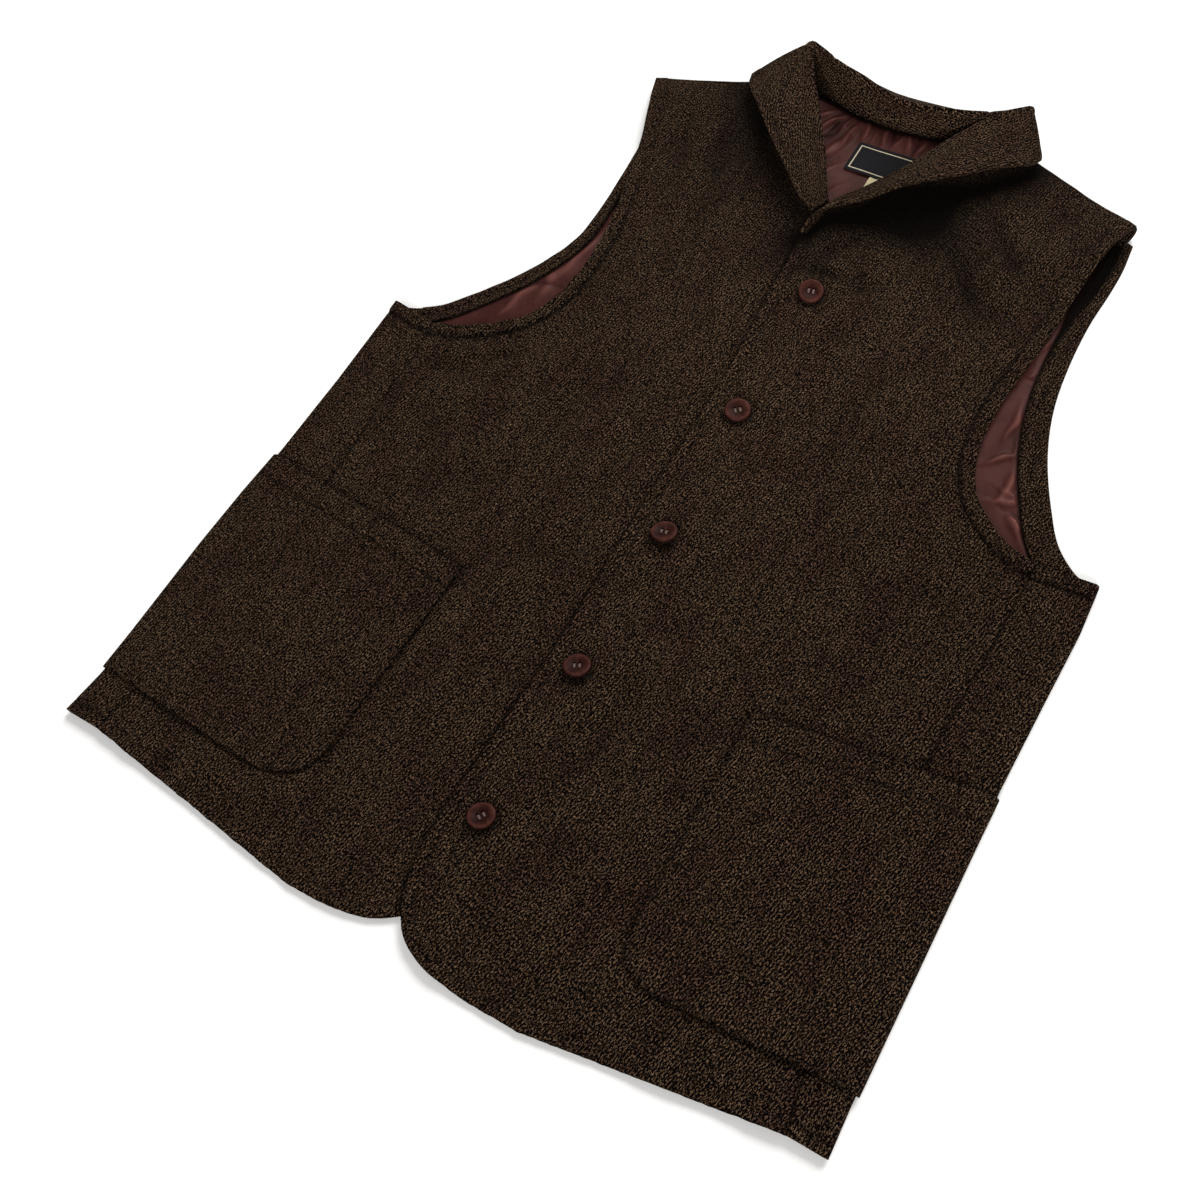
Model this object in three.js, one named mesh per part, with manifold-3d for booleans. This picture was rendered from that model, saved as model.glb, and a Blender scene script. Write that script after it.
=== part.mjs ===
import * as THREE from "three";
import { mergeVertices } from "three/addons/utils/BufferGeometryUtils.js";
import Module from "manifold-3d";

// Suit waistcoat, buttoned and laid flat on its back. Millimetres; X to the wearer's left,
// Y up the garment to the neck, Z up from the table. Lengths are measured from the top button,
// and the finished group is moved so that its origin is the middle of its footprint.

// Cloth thicknesses and the small gap between pieces that meet
const BACK_CLOTH = 1.8;
const FRONT_CLOTH = 2.4;
const LINING_CLOTH = 1.0;
const FACING_CLOTH = 1.4;
const COLLAR_CLOTH = 2.2;
const POCKET_CLOTH = 1.6;
const POCKET_HEM_CLOTH = 2.4;
const LABEL_CLOTH = 1.0;
const GAP = 0.3;

// Heights of the middles of the layers
const BACK_MID = BACK_CLOTH / 2;
const LINING_MID = BACK_CLOTH + GAP + LINING_CLOTH / 2;
const FACING_MID = BACK_CLOTH + GAP + FACING_CLOTH / 2;
const LABEL_MID = LINING_MID + LINING_CLOTH / 2 + GAP + LABEL_CLOTH / 2;
const FRONT_MID = 5.4;
const LAP_RISE = FRONT_CLOTH + 0.5;

// Main widths and lengths
const HEM_Y = -486;
const BUTTON_X = 10.5;
const BUTTON_PITCH = 105;
const BUTTON_COUNT = 5;
const BUTTON_RADIUS = 8.8;
const UNDERLAP_X = 21.5;
const LAP_END = 56;
const HEM_DROP = 3.2;
const SEAM_TURN = 3;

// Outlines, each a row per point: x, y. The right side is the wearer's right, at negative x.
// Side folds: y, distance from the middle to the outside of the fold
const SIDE_FOLD_RIGHT = [
  [-486, 264.5], [-456, 260.4], [-426, 259.8], [-350, 260], [-306, 258.8], [-268, 256.6], [-200, 255.8], [-126, 257],
];
const SIDE_FOLD_LEFT = [
  [-486, 259.7], [-456, 258.6], [-300, 258], [-268, 258.2], [-205, 259.6], [-157, 261], [-123, 259.7],
];
const SIDE_SEAM_RIGHT = [[-236, -486.5], [-232, -455], [-218, -360], [-211, -270], [-215, -200], [-220, -131]];
const SIDE_SEAM_LEFT = [[236, -486.5], [231, -455], [222, -360], [216, -270], [219, -200], [221, -126]];
const ARMHOLE_FRONT_RIGHT = [
  [-220, -131], [-200, -125], [-180, -113.5], [-163, -98], [-152.5, -77], [-147.5, -50],
  [-148, -25], [-151.5, 2], [-157, 28], [-164, 58], [-173, 89], [-183, 117], [-192, 142.5],
];
const ARMHOLE_FRONT_LEFT = [
  [221, -126], [203, -121.5], [186, -111.5], [171, -97], [161, -75], [157.5, -50],
  [158, -20], [162, 12], [165.5, 48], [168.5, 86], [173.5, 118], [182, 144.5],
];
const ARMHOLE_BACK_RIGHT = [
  [-253.8, -126], [-241, -121.8], [-225, -111.3], [-207.5, -90.3], [-190, -65.5], [-176.5, -39.5],
  [-169, -16], [-168, 15], [-170, 48], [-174, 88], [-182, 114], [-188, 131],
];
const ARMHOLE_BACK_LEFT = [
  [256.5, -123], [245, -119.5], [229, -106.5], [214.5, -83], [198.5, -49], [188.5, -15],
  [184, 20], [183, 60], [185.5, 95], [186, 115], [184.5, 136],
];
const NECKLINE_RIGHT = [[21.5, 22], [12, 42], [0, 60], [-15, 80], [-38, 115], [-63, 155], [-76, 173.5], [-84, 185]];
const NECKLINE_LEFT = [[-20.5, 45], [-16, 68], [-12, 80], [5, 102], [31, 141], [47, 171], [58, 184], [68, 190]];
const FRONT_EDGE_LEFT = [[-13, -415], [-9.5, -310], [-11.5, -200], [-12.5, -80], [-18, 0], [-20.5, 45]];
const FRONT_CORNER_LEFT = [[88, -511], [46, -511], [20, -506.5], [4, -497], [-5.5, -482], [-11.5, -458], [-13, -415]];
const FRONT_CORNER_RIGHT = [[-72, -507], [-42, -505.5], [-20, -500.5], [-8, -494], [3, -484], [15, -462], [21.5, -415]];
const BACK_TOP = [
  [-188, 131], [-135, 153], [-89, 175], [-76, 180.5], [-60, 178.5], [-40, 173], [-9, 170],
  [22, 173], [40, 178], [53, 182], [68, 182], [120, 160], [184.5, 136],
];
const POCKET_EDGE_RIGHT = [
  [-141, -459], [-126, -458.5], [-108.5, -451], [-98.5, -438], [-96, -400], [-93.5, -340], [-91.5, -288],
];
const POCKET_EDGE_LEFT = [
  [150, -459], [136, -458], [120.5, -449], [116.5, -436], [115.5, -400], [115.5, -340], [115.5, -291],
];
const POCKET_FOOT = -452;
const POCKET_HEAD = -272.5;
const POCKET_HEM = 17;

// Shawl collar, a row per station from the lapped end on the wearer's right round to the left:
// seam x, y, z at the neckline, with z 0 where it stands on a front; roll x, y, z at the fold;
// edge x, y, z at the outer edge
const COLLAR_STATIONS = [
  [-19, 76, 0, -17.5, 79, 12, -21.5, 63.5, 16.5],
  [-29, 92, 0, -27, 96, 12.5, -34, 68, 22.5],
  [-40, 113, 0, -38, 117, 13.5, -54, 86, 26],
  [-54, 138, 0, -53, 140, 16, -77, 108, 26],
  [-66, 158, 0, -65, 159, 19, -103, 137, 22],
  [-75, 171, 0, -75, 174, 22, -118, 155, 18],
  [-81, 179, 0, -83, 188, 25, -121, 163.5, 16],
  [-78, 184, 7.5, -90.5, 203, 27.5, -121.5, 171, 14],
  [-72, 181.5, 4.4, -82, 200.5, 27.5, -113.5, 183, 9],
  [-60, 178.5, 3.8, -62, 191.5, 27.4, -93, 199, 6],
  [-40, 173.5, 3.6, -40, 185, 27, -62, 205, 4.6],
  [-9, 170.5, 3.6, -9, 174.5, 26.8, -9, 201, 4.2],
  [22, 173.5, 3.6, 22, 177.5, 26.8, 36, 203, 4.6],
  [40, 178.5, 3.8, 42, 182.5, 27, 66, 199, 6],
  [52, 182.5, 4.4, 62, 190.5, 27.2, 88, 192, 8],
  [59.5, 187, 7.5, 80.5, 203.5, 27.6, 100.5, 175, 14],
  [60.5, 183, 0, 71, 196, 26.8, 101.8, 166.8, 17],
  [57, 178, 0, 57, 185, 24.5, 98, 160, 19.5],
  [48, 169, 0, 48, 172.5, 22.5, 85, 147, 24],
  [38, 153, 0, 37, 156, 20, 69, 131, 28],
  [30, 138, 0, 29, 141, 18, 50, 114, 30],
  [17, 117, 0, 16, 120, 15.5, 28, 95, 29.5],
  [2, 96, 0, 1, 98, 14, 9, 78, 26],
  [-11, 77, 0, -13, 79, 13.4, -9, 67, 22],
  [-15.5, 58, 0, -18, 62, 13, -18, 53, 17],
  [-17.5, 47, 0, -20, 50, 12.6, -20.5, 45, 13],
];

// Soft creases of the fronts, a row each: centre x, y; direction in degrees; half length; half width; height
const CREASES = [
  [112, 70, 35, 55, 11, 1.6],
  [128, 108, 20, 45, 9, -1.4],
  [96, 112, 62, 40, 12, 1.3],
  [140, -20, 80, 70, 13, 1.2],
  [75, -20, 8, 55, 12, -1.0],
  [60, -150, 75, 60, 22, 1.0],
  [-128, -60, 100, 60, 12, 1.3],
  [-150, -135, 25, 45, 10, 1.2],
  [-185, -160, 60, 40, 12, -1.0],
  [-95, 120, 118, 50, 13, 1.4],
  [-125, 90, 150, 42, 10, -1.2],
  [-60, -90, 95, 70, 20, 1.0],
  [-70, -250, 70, 60, 22, -0.9],
  [70, -260, 105, 65, 22, 1.1],
  [-55, -400, 85, 55, 18, 1.0],
  [60, -430, 98, 60, 18, 1.1],
];

const lerp = (a, b, t) => a + (b - a) * t;
const between = (rows, at) => {
  const k = rows.findIndex((row, i) => i > 0 && at <= row[0]);
  if (k < 0) return rows.at(-1)[1];
  return lerp(rows[k - 1][1], rows[k][1], clamp01((at - rows[k - 1][0]) / (rows[k][0] - rows[k - 1][0])));
};
const sideFold = (side, y) => between(side < 0 ? SIDE_FOLD_RIGHT : SIDE_FOLD_LEFT, y);
const clamp01 = (t) => Math.min(1, Math.max(0, t));
const smooth = (t) => clamp01(t) ** 2 * (3 - 2 * clamp01(t));
const step = (from, to, v) => smooth((v - from) / (to - from));

// A smooth curve through rows of x, y, read by the share of its length
function curve(rows) {
  const path = new THREE.CatmullRomCurve3(rows.map(([x, y]) => new THREE.Vector3(x, y, 0)), false, "centripetal");
  return (share) => {
    const p = path.getPointAt(clamp01(share));
    return [p.x, p.y];
  };
}

// Height that the soft creases and the fullness of the body add to the upper layer at x, y
function rise(x, y) {
  let height = 0;
  for (const [cx, cy, degrees, halfLength, halfWidth, lift] of CREASES) {
    const angle = (degrees * Math.PI) / 180;
    const along = (x - cx) * Math.cos(angle) + (y - cy) * Math.sin(angle);
    const across = -(x - cx) * Math.sin(angle) + (y - cy) * Math.cos(angle);
    height += lift * Math.exp(-((along / halfLength) ** 2) - (across / halfWidth) ** 2);
  }
  const chest = 1.8 * Math.exp(-(((Math.abs(x) - 95) / 70) ** 2) - ((y - 10) / 110) ** 2);
  const shoulder = 3.4 * Math.exp(-(((Math.abs(x) - 172) / 46) ** 2) - ((y - 118) / 50) ** 2);
  const belly = 1.4 * Math.exp(-(((Math.abs(x) - 110) / 80) ** 2) - ((y + 300) / 140) ** 2);
  const sides = 1 - step(223, 250, Math.abs(x));
  const hem = 1 - step(-455, -480, y);
  return Math.max(-0.6, (height + chest + shoulder + belly) * sides * hem);
}

// Drop of the fronts beyond the hem of the back, down to the table
const hemDrop = (x, y) => HEM_DROP * step(-472, -500, y) * (1 - step(190, 240, Math.abs(x)));
const underHeight = (x, y) => FRONT_MID + rise(x, y) - hemDrop(x, y);
const lapHeight = (x, y) => underHeight(x, y) + LAP_RISE * (1 - step(UNDERLAP_X + 5, LAP_END, x));

// A closed wall of cloth on a grid of middle points, with the thickness of each point;
// a cell is left out where present says so
function clothWall(points, thickness, present = () => true) {
  const rows = points.length;
  const columns = points[0].length;
  const cell = (i, j) => i >= 0 && j >= 0 && i < rows - 1 && j < columns - 1 && present(i, j);
  const used = (i, j) =>
    i >= 0 && j >= 0 && i < rows && j < columns &&
    (cell(i, j) || cell(i - 1, j) || cell(i, j - 1) || cell(i - 1, j - 1));
  const span = (i, j, di, dj) => {
    const ahead = used(i + di, j + dj) ? points[i + di][j + dj] : points[i][j];
    const behind = used(i - di, j - dj) ? points[i - di][j - dj] : points[i][j];
    return new THREE.Vector3().subVectors(ahead, behind);
  };
  const position = [];
  const index = [];
  const sides = [[], []];
  for (let i = 0; i < rows; i++) {
    for (let j = 0; j < columns; j++) {
      if (!used(i, j)) continue;
      const normal = span(i, j, 0, 1).cross(span(i, j, 1, 0)).normalize();
      const half = thickness(i, j) / 2;
      for (const side of [0, 1]) {
        const p = points[i][j].clone().addScaledVector(normal, side ? -half : half);
        sides[side][i * columns + j] = position.length / 3;
        position.push(p.x, p.y, p.z);
      }
    }
  }
  const quad = (a, b, c, d) => index.push(a, b, c, a, c, d);
  const at = (side, i, j) => sides[side][i * columns + j];
  for (let i = 0; i < rows - 1; i++) {
    for (let j = 0; j < columns - 1; j++) {
      if (!cell(i, j)) continue;
      quad(at(0, i, j), at(0, i, j + 1), at(0, i + 1, j + 1), at(0, i + 1, j));
      quad(at(1, i, j), at(1, i + 1, j), at(1, i + 1, j + 1), at(1, i, j + 1));
      if (!cell(i - 1, j)) quad(at(0, i, j), at(1, i, j), at(1, i, j + 1), at(0, i, j + 1));
      if (!cell(i + 1, j)) quad(at(0, i + 1, j + 1), at(1, i + 1, j + 1), at(1, i + 1, j), at(0, i + 1, j));
      if (!cell(i, j - 1)) quad(at(0, i + 1, j), at(1, i + 1, j), at(1, i, j), at(0, i, j));
      if (!cell(i, j + 1)) quad(at(0, i, j + 1), at(1, i, j + 1), at(1, i + 1, j + 1), at(0, i + 1, j + 1));
    }
  }
  const geometry = new THREE.BufferGeometry();
  geometry.setAttribute("position", new THREE.Float32BufferAttribute(position, 3));
  geometry.setIndex(index);
  geometry.computeVertexNormals();
  return geometry;
}

// Rows of a front: outer and inner end points from the hem up to the shoulder line
function frontRows(seam, armhole, corner, edge, neckline) {
  const bands = [
    { outer: seam, outerFrom: 0, outerTo: 0.17, inner: corner, innerFrom: 0, innerTo: 1, count: 6 },
    { outer: seam, outerFrom: 0.17, outerTo: 1, inner: edge, innerFrom: 0, innerTo: 0.62, count: 8 },
    { outer: armhole, outerFrom: 0, outerTo: 0.52, inner: edge, innerFrom: 0.62, innerTo: 1, count: 8 },
    { outer: armhole, outerFrom: 0.52, outerTo: 1, inner: neckline, innerFrom: 0, innerTo: 1, count: 9 },
  ];
  const rows = [];
  for (const band of bands) {
    const first = rows.length === 0 ? 0 : 1;
    for (let k = first; k <= band.count; k++) {
      const t = k / band.count;
      rows.push([
        band.outer(lerp(band.outerFrom, band.outerTo, t)),
        band.inner(lerp(band.innerFrom, band.innerTo, t)),
      ]);
    }
  }
  return rows;
}

// A front: its rows, then the turn over the shoulder down to the seam with the back
function frontPanel(rows, height, columns, mirror) {
  const points = rows.map(([outer, inner]) => {
    return Array.from({ length: columns + 1 }, (_, j) => {
      const u = j / columns;
      const x = lerp(outer[0], inner[0], u);
      const y = lerp(outer[1], inner[1], u);
      return new THREE.Vector3(x, y, height(x, y));
    });
  });
  const top = points.pop();
  const tangent = new THREE.Vector3().subVectors(top[columns], top[0]).normalize();
  const away = new THREE.Vector3(-tangent.y, tangent.x, 0).multiplyScalar(mirror);
  const turns = [90, 55, 20, -20, -55, -90];
  for (const degrees of turns) {
    points.push(top.map((p) => {
      const radius = (p.z - BACK_MID) / 2;
      const angle = (degrees * Math.PI) / 180;
      const middle = p.clone().addScaledVector(away, -radius).setZ(BACK_MID + radius);
      return middle.addScaledVector(away, radius * Math.cos(angle)).setZ(middle.z + radius * Math.sin(angle));
    }));
  }
  points.push(points.at(-1).map((p) => p.clone().addScaledVector(away, -SEAM_TURN)));
  const lastFull = points.length - turns.length - 2;
  const thickness = (i) => lerp(FRONT_CLOTH, BACK_CLOTH, clamp01((i - lastFull) / 4));
  return mirror > 0
    ? clothWall(points, thickness)
    : clothWall(points.map((row) => row.slice().reverse()), thickness);
}

const seamRight = curve(SIDE_SEAM_RIGHT);
const seamLeft = curve(SIDE_SEAM_LEFT);
const armFrontRight = curve(ARMHOLE_FRONT_RIGHT);
const armFrontLeft = curve(ARMHOLE_FRONT_LEFT);
const armBackRight = curve(ARMHOLE_BACK_RIGHT);
const armBackLeft = curve(ARMHOLE_BACK_LEFT);
const frontEdgeRight = [FRONT_CORNER_RIGHT.at(-1), NECKLINE_RIGHT[0]];

const frontRight = frontPanel(
  frontRows(seamRight, armFrontRight, curve(FRONT_CORNER_RIGHT), curve(frontEdgeRight), curve(NECKLINE_RIGHT)),
  underHeight, 14, 1);
const frontLeft = frontPanel(
  frontRows(seamLeft, armFrontLeft, curve(FRONT_CORNER_LEFT), curve(FRONT_EDGE_LEFT), curve(NECKLINE_LEFT)),
  lapHeight, 14, -1);

// The back: flat rows from side to side, with the sides turned over the fold up to the side seams
const FOLD_RADIUS = (FRONT_MID - BACK_MID) / 2;
const foldX = (side, y) => side * (sideFold(side, y) - BACK_CLOTH / 2 - FOLD_RADIUS);
const FOLD_TURNS = [-60, -30, 0, 30, 60, 90];
const WRAP_STEPS = 3;
const BODY_ROWS = 12;
const YOKE_ROWS = 14;
const BACK_COLUMNS = 16;

function foldPoint(side, y, degrees, radius) {
  const angle = (degrees * Math.PI) / 180;
  return new THREE.Vector3(
    foldX(side, y) + side * radius * Math.cos(angle), y, BACK_MID + FOLD_RADIUS + radius * Math.sin(angle));
}

// Points of the turned side at one row, from the fold to the side seam
function wrapPoints(side, seam, y, share) {
  const turned = FOLD_TURNS.map((degrees) => foldPoint(side, y, degrees, FOLD_RADIUS));
  const [seamX, seamY] = seam(share);
  for (let k = 1; k <= WRAP_STEPS; k++) {
    const x = lerp(foldX(side, y), seamX + side * GAP, k / WRAP_STEPS);
    const rowY = lerp(y, seamY, k / WRAP_STEPS);
    turned.push(new THREE.Vector3(x, rowY, underHeight(x, rowY)));
  }
  return turned;
}

// Flat rows of a layer of the back: straight rows up to the armholes, then rows that bend to the top outline
function backRows(left, right, top, foot, bodyRows, yokeRows, columns, height) {
  const rows = [];
  const flat = (x, y) => new THREE.Vector3(x, y, height);
  const [rightArm, leftArm] = [right(0), left(0)];
  const rightMargin = foldX(-1, rightArm[1]) - rightArm[0];
  const leftMargin = foldX(1, leftArm[1]) - leftArm[0];
  for (let i = 0; i < bodyRows; i++) {
    rows.push(Array.from({ length: columns + 1 }, (_, j) => {
      const u = j / columns;
      const y = lerp(foot, lerp(rightArm[1], leftArm[1], u), i / bodyRows);
      const ends = [foldX(-1, y) - rightMargin, foldX(1, y) - leftMargin];
      return flat(lerp(ends[0], ends[1], u), y);
    }));
  }
  const [tipRight, tipLeft] = [right(1), left(1)];
  for (let i = 0; i <= yokeRows; i++) {
    const t = i / yokeRows;
    const [a, b] = [right(t), left(t)];
    rows.push(Array.from({ length: columns + 1 }, (_, j) => {
      const u = j / columns;
      const [topX, topY] = top(u);
      const bend = t * t;
      return flat(
        lerp(a[0], b[0], u) + bend * (topX - lerp(tipRight[0], tipLeft[0], u)),
        lerp(a[1], b[1], u) + bend * (topY - lerp(tipRight[1], tipLeft[1], u)));
    }));
  }
  return rows;
}

function backPanel() {
  const flat = backRows(armBackLeft, armBackRight, curve(BACK_TOP), HEM_Y, BODY_ROWS, YOKE_ROWS, BACK_COLUMNS, BACK_MID);
  const wrapCount = FOLD_TURNS.length + WRAP_STEPS;
  const points = flat.map((row, i) => {
    const share = Math.min(1, i / BODY_ROWS);
    const right = wrapPoints(-1, seamRight, row[0].y, share).reverse();
    const left = wrapPoints(1, seamLeft, row.at(-1).y, share);
    return [...right, ...row, ...left];
  });
  // Above the armholes only the flat middle is cloth.
  const present = (i, j) => i < BODY_ROWS || (j >= wrapCount && j < wrapCount + BACK_COLUMNS);
  return clothWall(points, () => BACK_CLOTH, present);
}

// A point moved inward from an outline by a distance; side is -1 on the wearer's right
function insetPoint(outline, share, distance, side) {
  const [a, b] = [outline(share - 0.004), outline(share + 0.004)];
  const length = Math.hypot(b[0] - a[0], b[1] - a[1]);
  const [x, y] = outline(share);
  return [x + (side * -(b[1] - a[1]) * distance) / length, y + (side * (b[0] - a[0]) * distance) / length];
}

// Facing of a back armhole: a strip along the edge, narrower towards the shoulder
const FACING_EDGE = 0.6;
const FACING_ROWS = 20;
function facing(outline, side, wide, narrow) {
  const points = [];
  for (let i = 0; i <= FACING_ROWS; i++) {
    const share = lerp(0.06, 0.985, i / FACING_ROWS);
    const width = lerp(wide, narrow, smooth(i / FACING_ROWS * 1.6));
    const row = [0, 0.5, 1].map((u) => {
      const [x, y] = insetPoint(outline, share, FACING_EDGE + u * width, side);
      return new THREE.Vector3(x, y, FACING_MID);
    });
    points.push(side > 0 ? row.reverse() : row);
  }
  return clothWall(points, () => FACING_CLOTH);
}

const FACING_RIGHT = { wide: 14, narrow: 9 };
const FACING_LEFT = { wide: 19, narrow: 17.5 };

// Back lining: the back's outline kept inside the facings, the hem and the folds
function liningPanel() {
  const inside = (outline, side, { wide, narrow }) => (share) => {
    const from = lerp(0.06, 0.93, share);
    const width = lerp(wide, narrow, smooth((from - 0.06) / 0.925 * 1.6)) + FACING_EDGE + GAP;
    const [x, y] = insetPoint(outline, from, width, side);
    return [side * Math.min(Math.abs(x), 248), y];
  };
  const right = inside(armBackRight, -1, FACING_RIGHT);
  const left = inside(armBackLeft, 1, FACING_LEFT);
  const yoke = BACK_TOP.slice(1, -1).map(([x, y]) => [x, Math.abs(x + 9) > 75 ? y - 5 : y]);
  const top = curve([right(1), ...yoke, left(1)]);
  const points = backRows(left, right, top, HEM_Y + 14, 4, 20, 14, LINING_MID);
  return clothWall(points, () => LINING_CLOTH);
}

// Patch pocket, laid over the front and the turned side, ending a little round the fold
const POCKET_COLUMNS = 10;
const POCKET_ROWS = 14;
const POCKET_TURNS = [75, 50, 25, 2];
function pocket(edge, side) {
  const inner = curve(edge);
  const lift = BACK_CLOTH / 2 + GAP + POCKET_CLOTH / 2;
  const points = [];
  const hemShare = 1 - POCKET_HEM / (POCKET_HEAD - POCKET_FOOT);
  const shares = Array.from({ length: POCKET_ROWS }, (_, i) => (i / (POCKET_ROWS - 1)) * (hemShare - 0.006));
  shares.push(hemShare, 1);
  for (const share of shares) {
    const outerShare = share < 0.2 ? share * 0.35 : lerp(0.07, 1, (share - 0.2) / 0.8);
    const outerY = lerp(POCKET_FOOT, POCKET_HEAD, outerShare);
    const [innerX, innerY] = inner(share);
    const hemLift = share >= hemShare ? (POCKET_HEM_CLOTH - POCKET_CLOTH) / 2 : 0;
    const row = [];
    for (let j = 0; j <= POCKET_COLUMNS; j++) {
      const u = j / POCKET_COLUMNS;
      const x = lerp(innerX, foldX(side, outerY), u);
      const y = lerp(innerY, outerY, u);
      const puff = 2.4 * Math.sin(Math.PI * u) ** 0.8 * Math.sin(Math.PI * (0.06 + 0.84 * share));
      const overFront = 0.4 * (1 - step(238, 250, Math.abs(x)));
      row.push(new THREE.Vector3(x, y, underHeight(x, y) + lift + overFront + hemLift + puff));
    }
    for (const degrees of POCKET_TURNS) row.push(foldPoint(side, outerY, degrees, FOLD_RADIUS + lift + hemLift));
    points.push(side > 0 ? row : row.reverse());
  }
  const thickness = (i) => (i >= POCKET_ROWS ? POCKET_HEM_CLOTH : POCKET_CLOTH);
  return clothWall(points, thickness);
}

// Shawl collar: stand from the seam up to the roll, then the fall out to the edge
const COLLAR_SUBSTEPS = 2;
const STAND_SHARES = [0, 0.35, 0.7];
const ROLL_SHARES = [0, 0.25, 0.5, 0.75, 1];
const FALL_SHARES = [0.25, 0.5, 0.75, 1];
const ROLL_CUT = 5;
const STAND_GAP = 1.1;

function collarSection(seam, roll, edge) {
  const cutFrom = (end) => roll.clone().lerp(end, Math.min(0.42, ROLL_CUT / roll.distanceTo(end)));
  const before = cutFrom(seam);
  const after = cutFrom(edge);
  const control = roll.clone().multiplyScalar(2).sub(before.clone().add(after).multiplyScalar(0.5));
  const bend = new THREE.QuadraticBezierCurve3(before, control, after);
  return [
    ...STAND_SHARES.map((t) => seam.clone().lerp(before, t)),
    ...ROLL_SHARES.map((t) => bend.getPoint(t)),
    ...FALL_SHARES.map((t) => after.clone().lerp(edge, t)),
  ];
}

function collar() {
  const middle = (COLLAR_STATIONS.length - 1) / 2;
  const seams = COLLAR_STATIONS.map(([x, y, z], k) => {
    const front = k < middle ? underHeight(x, y) : lapHeight(x, y);
    return new THREE.Vector3(x, y, z || front + FRONT_CLOTH / 2 + STAND_GAP);
  });
  const rolls = COLLAR_STATIONS.map((row) => new THREE.Vector3(row[3], row[4], row[5]));
  const edges = COLLAR_STATIONS.map((row) => new THREE.Vector3(row[6], row[7], row[8]));
  const [seam, roll, edge] = [seams, rolls, edges].map((list) => new THREE.CatmullRomCurve3(list, false, "centripetal"));
  const count = (COLLAR_STATIONS.length - 1) * COLLAR_SUBSTEPS;
  const points = [];
  for (let i = 0; i <= count; i++) {
    const t = i / count;
    points.push(collarSection(seam.getPoint(t), roll.getPoint(t), edge.getPoint(t)));
  }
  return clothWall(points.reverse(), () => COLLAR_CLOTH);
}

// Four-hole button with a raised rim and a dished middle
const BUTTON_PROFILE = [
  [0, 0], [6.4, 0], [8.2, 0.6], [8.8, 1.6], [8.5, 2.7], [7.6, 3.3], [6.8, 3.1], [6.1, 2.4], [4.6, 2.0], [0, 1.9],
];
const BUTTON_HOLE_RADIUS = 0.85;
const BUTTON_HOLE_OFFSET = 1.55;

const wasm = await Module();
wasm.setup();
function toManifold(geometry) {
  const plain = geometry.clone();
  plain.deleteAttribute("normal");
  plain.deleteAttribute("uv");
  const merged = mergeVertices(plain, 1e-4);
  return new wasm.Manifold(new wasm.Mesh({
    numProp: 3,
    vertProperties: new Float32Array(merged.attributes.position.array),
    triVerts: new Uint32Array(merged.index.array),
  }));
}
function fromManifold(solid) {
  const mesh = solid.getMesh();
  const geometry = new THREE.BufferGeometry();
  geometry.setAttribute("position", new THREE.Float32BufferAttribute(mesh.vertProperties, 3));
  geometry.setIndex(Array.from(mesh.triVerts));
  geometry.computeVertexNormals();
  return geometry;
}

function buttonGeometry() {
  const body = new THREE.LatheGeometry(BUTTON_PROFILE.map(([r, z]) => new THREE.Vector2(r, z)), 20);
  body.rotateX(Math.PI / 2);
  let solid = toManifold(body);
  for (const [sx, sy] of [[-1, -1], [1, -1], [-1, 1], [1, 1]]) {
    const hole = new THREE.CylinderGeometry(BUTTON_HOLE_RADIUS, BUTTON_HOLE_RADIUS, 8, 6);
    hole.rotateX(Math.PI / 2);
    hole.translate(sx * BUTTON_HOLE_OFFSET, sy * BUTTON_HOLE_OFFSET, 2);
    solid = solid.subtract(toManifold(hole));
  }
  return fromManifold(solid);
}

// Flat woven piece between two corners
function flatPiece(x0, y0, x1, y1) {
  const grid = [y0, y1].map((y) => [x0, x1].map((x) => new THREE.Vector3(x, y, LABEL_MID)));
  return clothWall(grid, () => LABEL_CLOTH);
}

const group = new THREE.Group();
group.name = "suit_waistcoat";
const TWEED = { color: 0x2a2018, roughness: 0.95, metalness: 0 };
const SATIN = { color: 0x55302c, roughness: 0.45, metalness: 0 };
const HORN = { color: 0x3b1d18, roughness: 0.4, metalness: 0 };
const BLACK_TAPE = { color: 0x0d0d10, roughness: 0.8, metalness: 0 };
const CREAM_TAPE = { color: 0xd9d3c2, roughness: 0.85, metalness: 0 };

function add(name, geometry, look) {
  const mesh = new THREE.Mesh(geometry, new THREE.MeshStandardMaterial(look));
  mesh.name = name;
  group.add(mesh);
}

add("back", backPanel(), TWEED);
add("lining", liningPanel(), SATIN);
add("facing_right", facing(armBackRight, -1, FACING_RIGHT.wide, FACING_RIGHT.narrow), TWEED);
add("facing_left", facing(armBackLeft, 1, FACING_LEFT.wide, FACING_LEFT.narrow), TWEED);
add("front_right", frontRight, TWEED);
add("front_left", frontLeft, TWEED);
add("pocket_right", pocket(POCKET_EDGE_RIGHT, -1), TWEED);
add("pocket_left", pocket(POCKET_EDGE_LEFT, 1), TWEED);
add("collar", collar(), TWEED);
for (let k = 0; k < BUTTON_COUNT; k++) {
  const y = -BUTTON_PITCH * k;
  const geometry = buttonGeometry();
  geometry.translate(BUTTON_X, y, lapHeight(BUTTON_X, y) + FRONT_CLOTH / 2 + GAP);
  add(`button_${k + 1}`, geometry, HORN);
}
add("label", flatPiece(-24, 120, 26, 148.5), BLACK_TAPE);
add("size_tab", flatPiece(-3, 106, 12, 120 - GAP), CREAM_TAPE);

// The origin goes to the middle of the footprint, at the table.
const box = new THREE.Box3().setFromObject(group, true);
const centre = box.getCenter(new THREE.Vector3());
for (const mesh of group.children) mesh.geometry.translate(-centre.x, -centre.y, -box.min.z);

export default group;
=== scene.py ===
import math
import random

import bmesh
import bpy
import numpy as np
from mathutils import Matrix, Vector
from mathutils.bvhtree import BVHTree


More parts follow.
